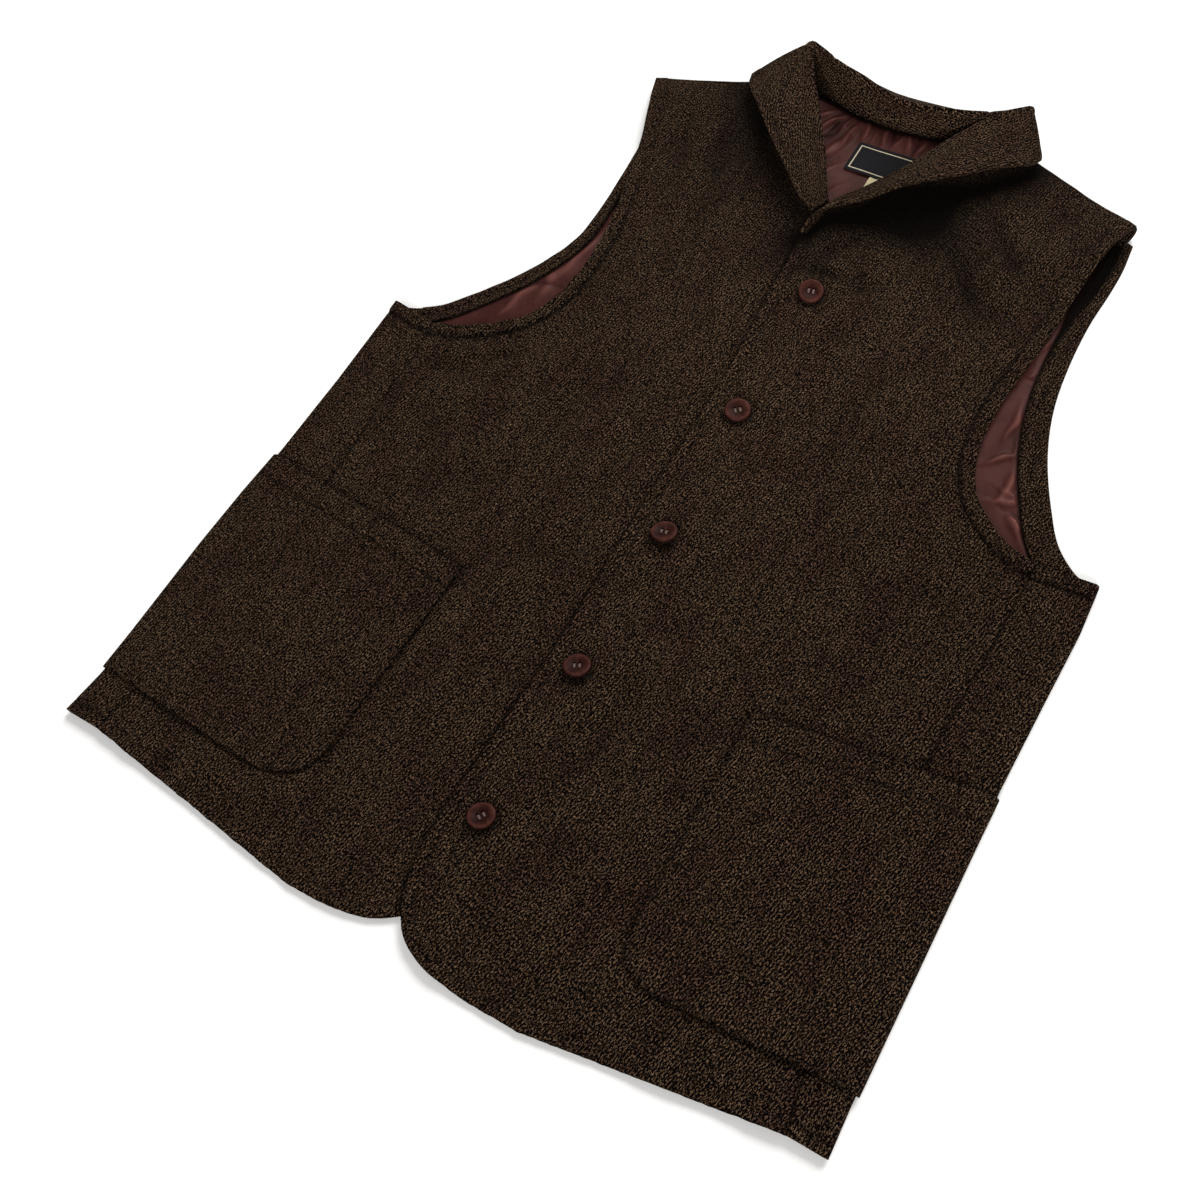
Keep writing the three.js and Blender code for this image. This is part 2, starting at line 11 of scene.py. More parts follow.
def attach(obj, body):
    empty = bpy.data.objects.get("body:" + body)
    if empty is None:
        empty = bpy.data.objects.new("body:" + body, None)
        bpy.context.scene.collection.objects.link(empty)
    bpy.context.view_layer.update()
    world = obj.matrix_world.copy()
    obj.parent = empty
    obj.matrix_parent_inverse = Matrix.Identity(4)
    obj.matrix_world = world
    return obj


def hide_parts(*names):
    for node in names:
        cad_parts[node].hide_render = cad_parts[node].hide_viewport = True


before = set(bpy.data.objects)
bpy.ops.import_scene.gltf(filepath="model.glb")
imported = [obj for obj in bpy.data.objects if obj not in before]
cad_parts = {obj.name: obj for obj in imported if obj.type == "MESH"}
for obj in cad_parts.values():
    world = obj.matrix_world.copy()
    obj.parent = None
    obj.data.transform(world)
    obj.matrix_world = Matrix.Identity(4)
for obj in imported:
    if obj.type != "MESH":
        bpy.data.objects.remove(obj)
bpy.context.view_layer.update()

# Suit waistcoat, buttoned and laid flat on its back. Lengths are millimetres measured from the top
# button, X to the wearer's left, Y up to the neck, Z up from the table; placed() turns them into
# metres in the frame.
MIDDLE_X, MIDDLE_Y = 1.818, 152.943

# Cloth thicknesses, the gap between pieces and the heights of the middles of the layers
BACK_CLOTH = 1.8
FRONT_CLOTH = 2.4
LINING_CLOTH = 0.8
FACING_CLOTH = 1.4
COLLAR_CLOTH = 2.2
POCKET_CLOTH = 1.6
LABEL_CLOTH = 0.5
GAP = 0.3
BACK_MID = BACK_CLOTH / 2
LINING_MID = 2.6
FACING_MID = 2.8
LABEL_MID = 3.9
FRONT_MID = 5.4
LAP_RISE = 2.9

# How each button sits: moved along X and Y, leant to the camera's side in degrees, turned in degrees
BUTTON_SEATS = [
    [-1.6, 0.9, 16, 12], [-1.0, -2.0, 5, 40], [1.5, 0, -14, 8], [0, 0.5, -14, 28], [-0.8, -0.8, -11, 62],
]

HEM_Y = -486
BUTTON_X = 10.5
BUTTON_PITCH = 105
BUTTON_COUNT = 5
UNDERLAP_X = 21.5
LAP_END = 56
HEM_DROP = 3.2
EDGE_STITCH = 7.0
FOLD_RADIUS = (FRONT_MID - BACK_MID) / 2


def lerp(start, end, share):
    return start + (end - start) * share


def step(start, end, value):
    share = np.clip((value - start) / (end - start), 0, 1)
    return share * share * (3 - 2 * share)


def placed(points):
    return (np.asarray(points, float) + [MIDDLE_X, MIDDLE_Y, 0]) / 1000


def swept(rows, per_span=24):
    """Points of the smooth curve through the rows, per_span to a span."""
    rows = np.asarray(rows, float)
    knots = np.vstack([2 * rows[0] - rows[1], rows, 2 * rows[-1] - rows[-2]])
    gaps = np.sum(np.diff(knots, axis=0) ** 2, axis=1) ** 0.25
    points = []
    shares = np.linspace(0, 1, per_span, endpoint=False)[:, None]
    for k in range(len(rows) - 1):
        before, start, end, after = knots[k:k + 4]
        first, span, last = gaps[k:k + 3]
        leave = (start - before) / first - (end - before) / (first + span) + (end - start) / span
        arrive = (end - start) / span - (after - start) / (span + last) + (after - end) / last
        leave, arrive = leave * span, arrive * span
        bend = -3 * start + 3 * end - 2 * leave - arrive
        turn = 2 * start - 2 * end + leave + arrive
        points.append(start + leave * shares + bend * shares ** 2 + turn * shares ** 3)
    points.append(rows[-1:])
    return np.vstack(points)


def run_length(points):
    """Length along a line of points, up to each of them."""
    lengths = np.linalg.norm(np.diff(points, axis=0), axis=1)
    return np.concatenate([[0], np.cumsum(lengths)])


def row_lengths(points):
    """Length along each row of a grid of points, up to each of them."""
    lengths = np.nan_to_num(np.linalg.norm(np.diff(points, axis=1), axis=2))
    return np.hstack([np.zeros((len(points), 1)), np.cumsum(lengths, axis=1)])


class Outline:
    """A smooth curve through rows, read by the share of its length."""

    def __init__(self, rows):
        self.points = swept(rows)
        self.reach = run_length(self.points)

    def at(self, shares):
        want = np.clip(shares, 0, 1) * self.reach[-1]
        return np.stack([np.interp(want, self.reach, column) for column in self.points.T], -1)

    def inset(self, shares, distance, side):
        """Points moved inward from the outline; side is -1 on the wearer's right."""
        shares = np.asarray(shares, float)
        along = self.at(shares + 0.004) - self.at(shares - 0.004)
        along = along / np.linalg.norm(along, axis=-1, keepdims=True)
        inward = np.stack([-along[..., 1], along[..., 0]], -1) * side
        return self.at(shares) + inward * np.asarray(distance)[..., None]


# Outlines, a row per point: x, y. The right side is the wearer's right, at negative x.
# Side folds: y, distance from the middle to the outside of the fold
SIDE_FOLD_RIGHT = [
    [-486, 264.5], [-456, 260.4], [-426, 259.8], [-350, 260], [-306, 258.8],
    [-268, 256.6], [-200, 255.8], [-126, 257],
]
SIDE_FOLD_LEFT = [
    [-486, 259.7], [-456, 258.6], [-300, 258], [-268, 258.2], [-205, 259.6],
    [-157, 261], [-123, 259.7],
]
seam_right = Outline([
    [-236, -486.5], [-232, -455], [-218, -360], [-211, -270], [-215, -200], [-220, -131],
])
seam_left = Outline([[236, -486.5], [231, -455], [222, -360], [216, -270], [219, -200], [221, -126]])
arm_front_right = Outline([
    [-220, -131], [-200, -125], [-180, -113.5], [-163, -98], [-152.5, -77], [-147.5, -50],
    [-148, -25], [-151.5, 2], [-157, 28], [-164, 58], [-173, 89], [-183, 117], [-192, 142.5],
])
arm_front_left = Outline([
    [221, -126], [203, -121.5], [186, -111.5], [171, -97], [161, -75], [157.5, -50],
    [158, -20], [162, 12], [165.5, 48], [168.5, 86], [173.5, 118], [182, 144.5],
])
arm_back_right = Outline([
    [-253.8, -126], [-241, -121.8], [-225, -111.3], [-207.5, -90.3], [-190, -65.5],
    [-176.5, -39.5], [-169, -16], [-168, 15], [-170, 48], [-174, 88], [-182, 114], [-188, 131],
])
arm_back_left = Outline([
    [256.5, -123], [245, -119.5], [229, -106.5], [214.5, -83], [198.5, -49], [188.5, -15],
    [184, 20], [183, 60], [185.5, 95], [186, 115], [184.5, 136],
])
neck_right = Outline([
    [21.5, 22], [12, 42], [0, 60], [-15, 80], [-38, 115], [-63, 155], [-76, 173.5], [-84, 185],
])
neck_left = Outline([
    [-20.5, 45], [-16, 68], [-12, 80], [5, 102], [31, 141], [47, 171], [58, 184], [68, 190],
])
edge_right = Outline([[21.5, -415], [21.5, 22]])
edge_left = Outline([
    [-13, -415], [-9.5, -310], [-11.5, -200], [-12.5, -80], [-18, 0], [-20.5, 45],
])
corner_left = Outline([
    [88, -511], [46, -511], [20, -506.5], [4, -497], [-5.5, -482], [-11.5, -458], [-13, -415],
])
corner_right = Outline([
    [-72, -507], [-42, -505.5], [-20, -500.5], [-8, -494], [3, -484], [15, -462], [21.5, -415],
])
BACK_TOP = [
    [-188, 131], [-135, 153], [-89, 175], [-76, 180.5], [-60, 178.5], [-40, 173], [-9, 170],
    [22, 173], [40, 178], [53, 182], [68, 182], [120, 160], [184.5, 136],
]
pocket_edge_right = Outline([
    [-141, -459], [-126, -458.5], [-108.5, -451], [-98.5, -438], [-96, -400], [-93.5, -340],
    [-91.5, -288],
])
pocket_edge_left = Outline([
    [150, -459], [136, -458], [120.5, -449], [116.5, -436], [115.5, -400], [115.5, -340],
    [115.5, -291],
])
POCKET_FOOT = -452
POCKET_HEAD = -272.5
POCKET_HEM = 17
POCKET_STITCH = 2.4

# Shawl collar, a row per station from the lapped end on the wearer's right round to the left:
# seam x, y, z at the neckline, with z 0 where it stands on a front; roll x, y, z at the fold;
# edge x, y, z at the outer edge
COLLAR_STATIONS = [
    [-19, 76, 0, -17.5, 79, 12, -21.5, 63.5, 16.5],
    [-29, 92, 0, -27, 96, 12.5, -34, 68, 22.5],
    [-40, 113, 0, -38, 117, 13.5, -54, 86, 26],
    [-54, 138, 0, -53, 140, 16, -77, 108, 26],
    [-66, 158, 0, -65, 159, 19, -103, 137, 22],
    [-75, 171, 0, -75, 174, 22, -118, 155, 18],
    [-81, 179, 0, -83, 188, 25, -121, 163.5, 16],
    [-78.5, 182.5, 5.0, -90.5, 203, 27.5, -121.5, 171, 14],
    [-72, 180.8, 3.7, -82, 200.5, 27.5, -113.5, 183, 9],
    [-60, 178.5, 3.8, -62, 191.5, 27.4, -93, 199, 6],
    [-40, 173.5, 3.6, -40, 185, 27, -62, 205, 4.6],
    [-9, 170.5, 3.6, -9, 174.5, 26.8, -9, 201, 4.2],
    [22, 173.5, 3.6, 22, 177.5, 26.8, 36, 203, 4.6],
    [40, 178.5, 3.8, 42, 182.5, 27, 66, 199, 6],
    [52, 182.5, 4.4, 62, 190.5, 27.2, 88, 192, 8],
    [59.5, 187, 7.5, 80.5, 203.5, 27.6, 100.5, 175, 14],
    [60.5, 183, 0, 71, 196, 26.8, 101.8, 166.8, 17],
    [57, 178, 0, 57, 185, 24.5, 98, 160, 19.5],
    [48, 169, 0, 48, 172.5, 22.5, 85, 147, 24],
    [38, 153, 0, 37, 156, 20, 69, 131, 28],
    [30, 138, 0, 29, 141, 18, 50, 114, 30],
    [17, 117, 0, 16, 120, 15.5, 28, 95, 29.5],
    [2, 96, 0, 1, 98, 14, 9, 78, 26],
    [-11, 77, 0, -13, 79, 13.4, -9, 67, 22],
    [-15.5, 58, 0, -18, 62, 13, -18, 53, 17],
    [-17.5, 47, 0, -20, 50, 12.6, -20.5, 45, 13],
]

# Broad soft creases of the fronts, as in the solids, a row each: centre x, y; direction in
# degrees; half length; half width; height
CREASES = [
    [112, 70, 35, 55, 11, 1.6], [128, 108, 20, 45, 9, -1.4], [96, 112, 62, 40, 12, 1.3],
    [140, -20, 80, 70, 13, 1.2], [75, -20, 8, 55, 12, -1.0], [60, -150, 75, 60, 22, 1.0],
    [-128, -60, 100, 60, 12, 1.3], [-150, -135, 25, 45, 10, 1.2], [-185, -160, 60, 40, 12, -1.0],
    [-95, 120, 118, 50, 13, 1.4], [-125, 90, 150, 42, 10, -1.2], [-60, -90, 95, 70, 20, 1.0],
    [-70, -250, 70, 60, 22, -0.9], [70, -260, 105, 65, 22, 1.1], [-55, -400, 85, 55, 18, 1.0],
    [60, -430, 98, 60, 18, 1.1],
]

# Finer creases and dents that only the cloth here carries, in the same columns
FINE_CREASES = [
    [115, 91, 132, 36, 6, -2.6], [99, 52, 128, 36, 7, -2.2], [98, 88, 124, 38, 6, 1.6],
    [132, 96, 140, 34, 8, 1.8], [145, 129, 154, 20, 8, -1.0], [150, 70, 110, 34, 9, -1.2],
    [14, 24, 9, 28, 6, -2.6], [4, 40, 60, 22, 6, -1.6], [34, 18, 39, 18, 5, -2.4], [58, 6, 165, 26, 7, 0.9],
    [40, -22, 20, 24, 6, -0.8], [-30, 30, 70, 36, 9, -1.2], [122, 40, 160, 26, 9, -1.4],
    [-202, -159, 3, 28, 6, -1.8], [-196, -146, 8, 24, 5, 1.2], [-158, -134, 44, 26, 6, -1.5],
    [-178, -200, 161, 24, 8, -1.3], [-205, -190, 100, 30, 7, 1.0], [-150, -168, 20, 26, 7, 1.0],
    [-50, -255, 161, 26, 8, -1.4], [-41, -201, 92, 46, 7, -1.0], [-58, -190, 96, 44, 8, 0.9],
    [-128, -232, 30, 30, 9, -1.0], [-88, -150, 80, 40, 9, -0.8],
    [177, -172, 14, 22, 6, -1.5], [205, -150, 150, 26, 6, 1.2], [196, -190, 60, 26, 7, 0.9],
    [150, -140, 170, 26, 8, 0.9], [228, -203, 95, 34, 6, -0.9], [196, -250, 95, 44, 12, 0.9],
    [39, -462, 139, 26, 7, -1.3], [24, -452, 100, 22, 6, 0.9], [58, -474, 120, 20, 7, 0.9],
    [162, -474, 171, 22, 7, -1.0], [92, -488, 20, 30, 7, -0.8], [150, -492, 170, 40, 8, 0.7],
    [-120, -482, 10, 44, 7, -1.0], [-60, -480, 165, 30, 8, 0.8], [-180, -478, 5, 34, 6, 0.8],
    [45, -330, 85, 60, 9, -0.9], [84, -370, 80, 50, 9, 0.8], [-60, -330, 95, 60, 10, 0.8],
    [-141, 88, 107, 34, 7, -1.5], [-109, 88, 106, 44, 8, -1.5], [-125, 92, 106, 34, 6, 1.5],
    [-148, 40, 112, 40, 7, 1.0], [-95, 20, 100, 40, 9, -0.8], [80, -100, 95, 60, 10, -0.7],
]


def bump(x, y, middle_x, middle_y, half_x, half_y):
    """A round swelling, 1 high at its middle."""
    return np.exp(-(((x - middle_x) / half_x) ** 2) - ((y - middle_y) / half_y) ** 2)


def from_crease(x, y, middle_x, middle_y, degrees):
    """Distances along and across a crease, from its middle."""
    angle = math.radians(degrees)
    along = (x - middle_x) * math.cos(angle) + (y - middle_y) * math.sin(angle)
    across = -(x - middle_x) * math.sin(angle) + (y - middle_y) * math.cos(angle)
    return along, across


def crease_heights(table, x, y):
    height = np.zeros(np.shape(x))
    for *middle, half_length, half_width, lift in table:
        along, across = from_crease(x, y, *middle)
        height = height + lift * bump(along, across, 0, 0, half_length, half_width)
    return height


RIPPLE_WAVES = 7


def unevenness(x, y, seed, wavelength):
    """A soft, irregular ripple of about one unit high, the same each run."""
    dice = random.Random(seed)
    total = np.zeros(np.shape(x))
    for _ in range(RIPPLE_WAVES):
        angle = dice.uniform(0, math.pi)
        length = wavelength * dice.uniform(0.7, 1.8)
        turn = (x * math.cos(angle) + y * math.sin(angle)) * math.tau / length
        total = total + np.sin(turn + dice.uniform(0, math.tau))
    return total / RIPPLE_WAVES ** 0.5


def rise(x, y):
    """Height that the creases and the fullness of the body add to the upper layer."""
    outward = np.abs(x)
    chest = 1.8 * bump(outward, y, 95, 10, 70, 110)
    shoulder = 3.4 * bump(outward, y, 172, 118, 46, 50)
    belly = 1.4 * bump(outward, y, 110, -300, 80, 140)
    sides = 1 - step(223, 250, outward)
    hem = 1 - step(-455, -480, y)
    return np.maximum(-0.6, (crease_heights(CREASES, x, y) + chest + shoulder + belly) * sides * hem)


def lifted(x, y):
    """Height of the hollow shoulders and the swell beside the collar, in the cloth alone."""
    left_tip = 6.5 * bump(x, y, 178, 122, 26, 34)
    right_tip = 3.0 * bump(x, y, -186, 118, 24, 34)
    beside_neck = np.maximum(bump(x, y, 20, 150, 62, 62), bump(x, y, -44, 150, 52, 55))
    return left_tip + right_tip + 5 * beside_neck * step(48, 100, y)


def under_height(x, y):
    drop = HEM_DROP * step(-472, -500, y) * (1 - step(190, 240, np.abs(x)))
    return FRONT_MID + rise(x, y) - drop


def lap_height(x, y):
    return under_height(x, y) + LAP_RISE * (1 - step(UNDERLAP_X + 5, LAP_END, x))


def fine_folds(x, y):
    """The small creases, dents and ripples of the upper cloth."""
    away = 1 - step(226, 248, np.abs(x))
    small = 1.25 * crease_heights(FINE_CREASES, x, y)
    ripples = 0.42 * unevenness(x, y, 5, 46) + 0.16 * unevenness(x, y, 6, 19)
    return (small + ripples) * away + lifted(x, y)


# Painted shade under the collar's fall: depth, centre x, y, half width, half height
FALL_SHADES = [[0.85, 46, 90, 33, 30], [0.32, 100, 66, 26, 34], [0.22, -100, 105, 30, 50]]
BUTTON_SHADE = 0.6


def hollow_shade(x, y):
    """Painted shade in the creases, beside and under the collar's fall and round the buttons, from 0 to
    about 1.
    """
    edges = swept([row[6:8] for row in COLLAR_STATIONS], 6)
    half = len(edges) // 2
    spots = np.stack([x, y], -1)
    # Painted shade beside the collar's falls, darkest at their edges, and under them
    right_fall = 0.8 * np.exp(-reach_to(spots, edges[:half]) / 26)
    left_fall = 1.15 * np.exp(-reach_to(spots, edges[half:]) / 19)
    under_fall = sum(depth * bump(x, y, *spot) for depth, *spot in FALL_SHADES)
    # Painted shade in the creases
    creases = np.clip(-0.17 * crease_heights(FINE_CREASES, x, y), 0, 0.5)
    # Painted shadow in a ring round each button
    button_shadow_ring = np.zeros(np.shape(x))
    for number, (move_x, move_y, _, _) in enumerate(BUTTON_SEATS):
        reach = np.hypot(x - BUTTON_X - move_x, y + BUTTON_PITCH * number - move_y)
        button_shadow_ring = button_shadow_ring + BUTTON_SHADE * (1 - step(8.5, 12.5, reach))
    return np.maximum(right_fall, left_fall) + under_fall + creases + button_shadow_ring


def side_fold(side, y):
    table = SIDE_FOLD_RIGHT if side < 0 else SIDE_FOLD_LEFT
    return np.interp(y, *zip(*table))


def fold_x(side, y):
    return side * (side_fold(side, y) - BACK_CLOTH / 2 - FOLD_RADIUS)


def reach_to(points, line):
    """Distance of each point from a line of points, in plan."""
    flat = points.reshape(-1, points.shape[-1])[:, :2]
    nearest = np.full(len(flat), 1e9)
    for start, end in zip(line[:-1], line[1:]):
        span = end[:2] - start[:2]
        share = np.clip(((flat - start[:2]) @ span) / max(span @ span, 1e-9), 0, 1)
        gap = np.linalg.norm(flat - start[:2] - share[:, None] * span, axis=1)
        nearest = np.minimum(nearest, gap)
    return nearest.reshape(points.shape[:-1])


def ridge(distance, at, half_width):
    return np.exp(-(((distance - at) / half_width) ** 2))


def sewn_edge(distance, plump=0.45, groove=0.55, at=EDGE_STITCH):
    """Height of a turned and stitched edge: full over the turning, pressed down at the stitches."""
    full = plump * (1 - step(at - 1.5, at + 2.5, distance))
    rounded = -0.35 * (1 - step(0, 1.6, distance))
    return full + rounded - groove * ridge(distance, at, 0.95)


# Cloth meshes

CLOTH_BEVEL_ANGLE = 58
RIM_SEGMENTS = 3


def linked(name, data):
    thing = bpy.data.objects.new(name, data)
    bpy.context.scene.collection.objects.link(thing)
    return thing


def new_object(name, mesh, smooth=False):
    if smooth:
        for face in mesh.faces:
            face.smooth = True
    data = bpy.data.meshes.new(name)
    mesh.to_mesh(data)
    mesh.free()
    return linked(name, data)


def settled(piece):
    """The piece, fixed to the body."""
    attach(piece, "root")
    return piece


def rounded(piece, name, width, segments, degrees):
    """Rounds the piece's edges that are sharper than the angle; the width is in metres."""
    bevel = piece.modifiers.new(name, "BEVEL")
    bevel.width = width
    bevel.segments = segments
    bevel.limit_method = "ANGLE"
    bevel.angle_limit = math.radians(degrees)


def cloth(name, points, thickness, grain=None, seam=None, edge=0.3, mirrored=False):
    """A sheet of cloth on a grid of middle points, with a wall and rounded edges.
    grain holds each point's place on the flat cloth, in millimetres, and seam how much shade is painted
    on it in seams, creases and stitch lines and where other parts shade it, up to 1, or below 0 for
    a highlight painted on the crest of a fold.
    edge is how wide the rounding is, as a share of the thickness."""
    rows, columns = points.shape[0] - 1, points.shape[1] - 1
    grain = points[..., :2] if grain is None else grain
    seam = np.zeros(points.shape[:2]) if seam is None else np.clip(seam, -1, 1)
    if mirrored:
        points, grain, seam = points[:, ::-1], grain[:, ::-1], seam[:, ::-1]
    mesh = bmesh.new()
    grain_map = mesh.loops.layers.uv.new("grain")
    painted_shade_and_highlight = mesh.verts.layers.float.new("seam")
    bmesh.ops.create_grid(mesh, x_segments=columns, y_segments=rows, size=0.5)
    spots = placed(points)
    for vert in mesh.verts:
        j, i = round((vert.co.x + 0.5) * columns), round((vert.co.y + 0.5) * rows)
        vert.index = i * (columns + 1) + j
    for face in mesh.faces:
        for loop in face.loops:
            i, j = divmod(loop.vert.index, columns + 1)
            loop[grain_map].uv = grain[i, j] / 1000
    gone = []
    for vert in mesh.verts:
        i, j = divmod(vert.index, columns + 1)
        vert.co = spots[i, j]
        # The painted shade and highlight of each point, for the finishes to read
        vert[painted_shade_and_highlight] = seam[i, j]
        if np.isnan(spots[i, j]).any():
            gone.append(vert)
    if gone:
        bmesh.ops.delete(mesh, geom=gone, context="VERTS")
    piece = new_object(name, mesh, smooth=True)
    wall = piece.modifiers.new("wall", "SOLIDIFY")
    wall.thickness = thickness / 1000
    wall.offset = 0
    wall.use_even_offset = False
    wall.material_offset_rim = 1
    rounded(piece, "rounded edge", thickness * edge / 1000, RIM_SEGMENTS, CLOTH_BEVEL_ANGLE)
    return settled(piece)


# Fronts

def warped(count, power=1.0):
    return (np.arange(count + 1) / count) ** power


def dense_ends(count):
    """Shares from 0 to 1 with closer steps by both ends."""
    t = warped(count)
    return t - 0.75 * np.sin(t * math.tau) / math.tau


def front_bands(seam, armhole, corner, edge, neckline):
    """Outer and inner end points of a front's rows, from the hem up to the shoulder line."""
    bands = [
        (seam, 0, 0.17, corner, 0, 1, warped(48, 1.25)),
        (seam, 0.17, 1, edge, 0, 0.62, warped(104)),
        (armhole, 0, 0.52, edge, 0.62, 1, warped(84)),
        (armhole, 0.52, 1, neckline, 0, 1, warped(84)),
    ]
    outer, inner = [], []
    for k, (out_line, out_from, out_to, in_line, in_from, in_to, shares) in enumerate(bands):
        shares = shares[min(k, 1):]
        outer.append(out_line.at(lerp(out_from, out_to, shares)))
        inner.append(in_line.at(lerp(in_from, in_to, shares)))
    return np.vstack(outer), np.vstack(inner)


SHOULDER_TURNS = np.radians(np.arange(90, -91, -15))
SHOULDER_TUCK = 3
FRONT_COLUMNS = 110
ARMHOLE_BAND = 9.5


def front(name, lines, height, side, run, armhole, pocket_run, covered_by=None):
    """A front panel: its rows, then the turn over the shoulder to the seam with the back."""
    outer, inner = front_bands(*lines)
    shares = dense_ends(FRONT_COLUMNS)
    flat = lerp(outer[:, None], inner[:, None], shares[None, :, None])
    x, y = flat[..., 0], flat[..., 1]
    seam_line = lines[0].at(np.linspace(0, 1, 60))
    pucker = 1 + 0.4 * unevenness(x, y, 11, 13)
    from_run, from_arm = reach_to(flat, run), reach_to(flat, armhole)
    wobble = (0.14 * unevenness(x, y, 12, 8) * (1 - step(0, 8, from_run)))[..., None]
    flat = flat + wobble * [0.4, 1.0]
    from_pocket = reach_to(flat, pocket_run)
    z = height(x, y) + fine_folds(x, y)
    z = z + sewn_edge(from_run, 0.5, 0.6) * pucker
    z = z + sewn_edge(from_arm, 1.6, 1.2, ARMHOLE_BAND) * pucker * (1 - 0.7 * step(0, 110, y))
    from_side = reach_to(flat, seam_line)
    z = z - 0.4 * ridge(from_pocket, 0, 1.8) - 1.0 * ridge(from_side, 0, 1.5)
    # Painted shade along the edge stitches, the pocket's edge, the cut edge, the armhole's band and the
    # side seam, with the painted shade of the hollows
    seam = 0.25 * ridge(from_run, EDGE_STITCH, 0.9) + 0.55 * ridge(from_pocket, 0, 1.7)
    seam = seam + 0.8 * ridge(from_run, 0, 0.7)
    seam = seam + 0.9 * ridge(from_arm, ARMHOLE_BAND, 1.7) * (1 - 0.75 * step(-40, 80, y))
    seam = seam + 0.9 * ridge(from_side, 0, 1.2) + hollow_shade(x, y)
    if covered_by is not None:
        # Painted shadow of the lapped front's edge on the cloth under it
        beyond = reach_to(flat, covered_by)
        seam = seam + ridge(beyond, 1.5, 1.7) * lerp(0.65, 1.0, step(-150, -350, y))
        z = z - 0.6 * ridge(beyond, 2.0, 2.0)
    else:
        z = z + 0.9 * (1 - step(0, 9, from_run)) * (1 - step(-440, -470, y))
    points = np.dstack([flat, z])
    top = points[-1]
    tangent = top[-1] - top[0]
    tangent = tangent / np.linalg.norm(tangent)
    away = np.array([-tangent[1], tangent[0], 0]) * -side
    foot = FRONT_CLOTH / 2
    radius = (top[:, 2:3] - foot) / 2
    turned, turned_grain = [], []
    for angle in SHOULDER_TURNS:
        around = top + away * radius * (math.cos(angle) - 1)
        around[:, 2:3] = foot + radius + radius * math.sin(angle)
        turned.append(around)
        turned_grain.append(top[:, :2] + away[:2] * radius * (math.pi / 2 - angle))
    turned.append(turned[-1] - away * SHOULDER_TUCK)
    turned_grain.append(turned_grain[-1] + away[:2] * SHOULDER_TUCK)
    points = np.concatenate([points[:-1], np.array(turned)])
    grain = np.concatenate([flat[:-1], np.array(turned_grain)])
    seam = np.concatenate([seam[:-1], np.zeros((len(turned), seam.shape[1]))])
    return cloth(name, points, FRONT_CLOTH, grain, seam, mirrored=side > 0)


def hem_and_edge(seam, corner, edge):
    shares = np.linspace(0, 1, 60)
    return np.vstack([seam.at(0)[None], corner.at(shares), edge.at(shares)])


def pocket_outline(inner, side):
    """The sewn outline of a pocket: along its foot, up the inner edge and across the head."""
    foot, head = [fold_x(side, POCKET_FOOT), POCKET_FOOT], [fold_x(side, POCKET_HEAD), POCKET_HEAD]
    return np.vstack([foot, inner.at(np.linspace(0, 1, 60)), head])


every = np.linspace(0, 1, 80)
run_right = hem_and_edge(seam_right, corner_right, edge_right)
run_left = hem_and_edge(seam_left, corner_left, edge_left)
lap_line = np.vstack([corner_left.at(every), edge_left.at(every)])
front_right = front(
    "front_right_cloth", (seam_right, arm_front_right, corner_right, edge_right, neck_right),
    under_height, -1, run_right, arm_front_right.at(every), pocket_outline(pocket_edge_right, -1), lap_line)
front_left = front(
    "front_left_cloth", (seam_left, arm_front_left, corner_left, edge_left, neck_left),
    lap_height, 1, run_left, arm_front_left.at(every), pocket_outline(pocket_edge_left, 1))


# Back, with its sides turned over the folds up to the side seams

BACK_TURNS = np.radians(np.arange(-75, 91, 15))
WRAP_STEPS = 30
BODY_ROWS = 150
YOKE_ROWS = 70
BACK_COLUMNS = 60


def flat_rows(left, right, top, foot, body_rows, yoke_rows, columns):
    """Flat points of a layer of the back: straight rows up to the armholes, then rows that
    bend to the top outline."""
    u = np.linspace(0, 1, columns + 1) if np.isscalar(columns) else columns
    right_arm, left_arm = right(0.0), left(0.0)
    right_margin = fold_x(-1, right_arm[1]) - right_arm[0]
    left_margin = fold_x(1, left_arm[1]) - left_arm[0]
    body = []
    for i in range(body_rows):
        y = lerp(foot, lerp(right_arm[1], left_arm[1], u), i / body_rows)
        x = lerp(fold_x(-1, y) - right_margin, fold_x(1, y) - left_margin, u)
        body.append(np.stack([x, y], -1))
    tips = lerp(right(1.0)[None], left(1.0)[None], u[:, None])
    crown = top.at(u)
    for t in np.linspace(0, 1, yoke_rows + 1):
        body.append(lerp(right(t)[None], left(t)[None], u[:, None]) + t * t * (crown - tips))
    return np.array(body)


def wrap_points(side, seam, y, share):
    """Points of the turned side at one row, from the fold up to the side seam."""
    middle_x = fold_x(side, y)
    turned = [
        [middle_x + side * FOLD_RADIUS * math.cos(a), y, BACK_MID + FOLD_RADIUS * (1 + math.sin(a))]
        for a in BACK_TURNS
    ]
    seam_x, seam_y = seam.at(share)
    for k in range(1, WRAP_STEPS + 1):
        reach = 1 - (1 - k / WRAP_STEPS) ** 1.3
        x = lerp(middle_x, seam_x + side * GAP, reach)
        row_y = lerp(y, seam_y, reach)
        turned.append([x, row_y, float(under_height(x, row_y) + fine_folds(x, row_y))])
    return np.array(turned)


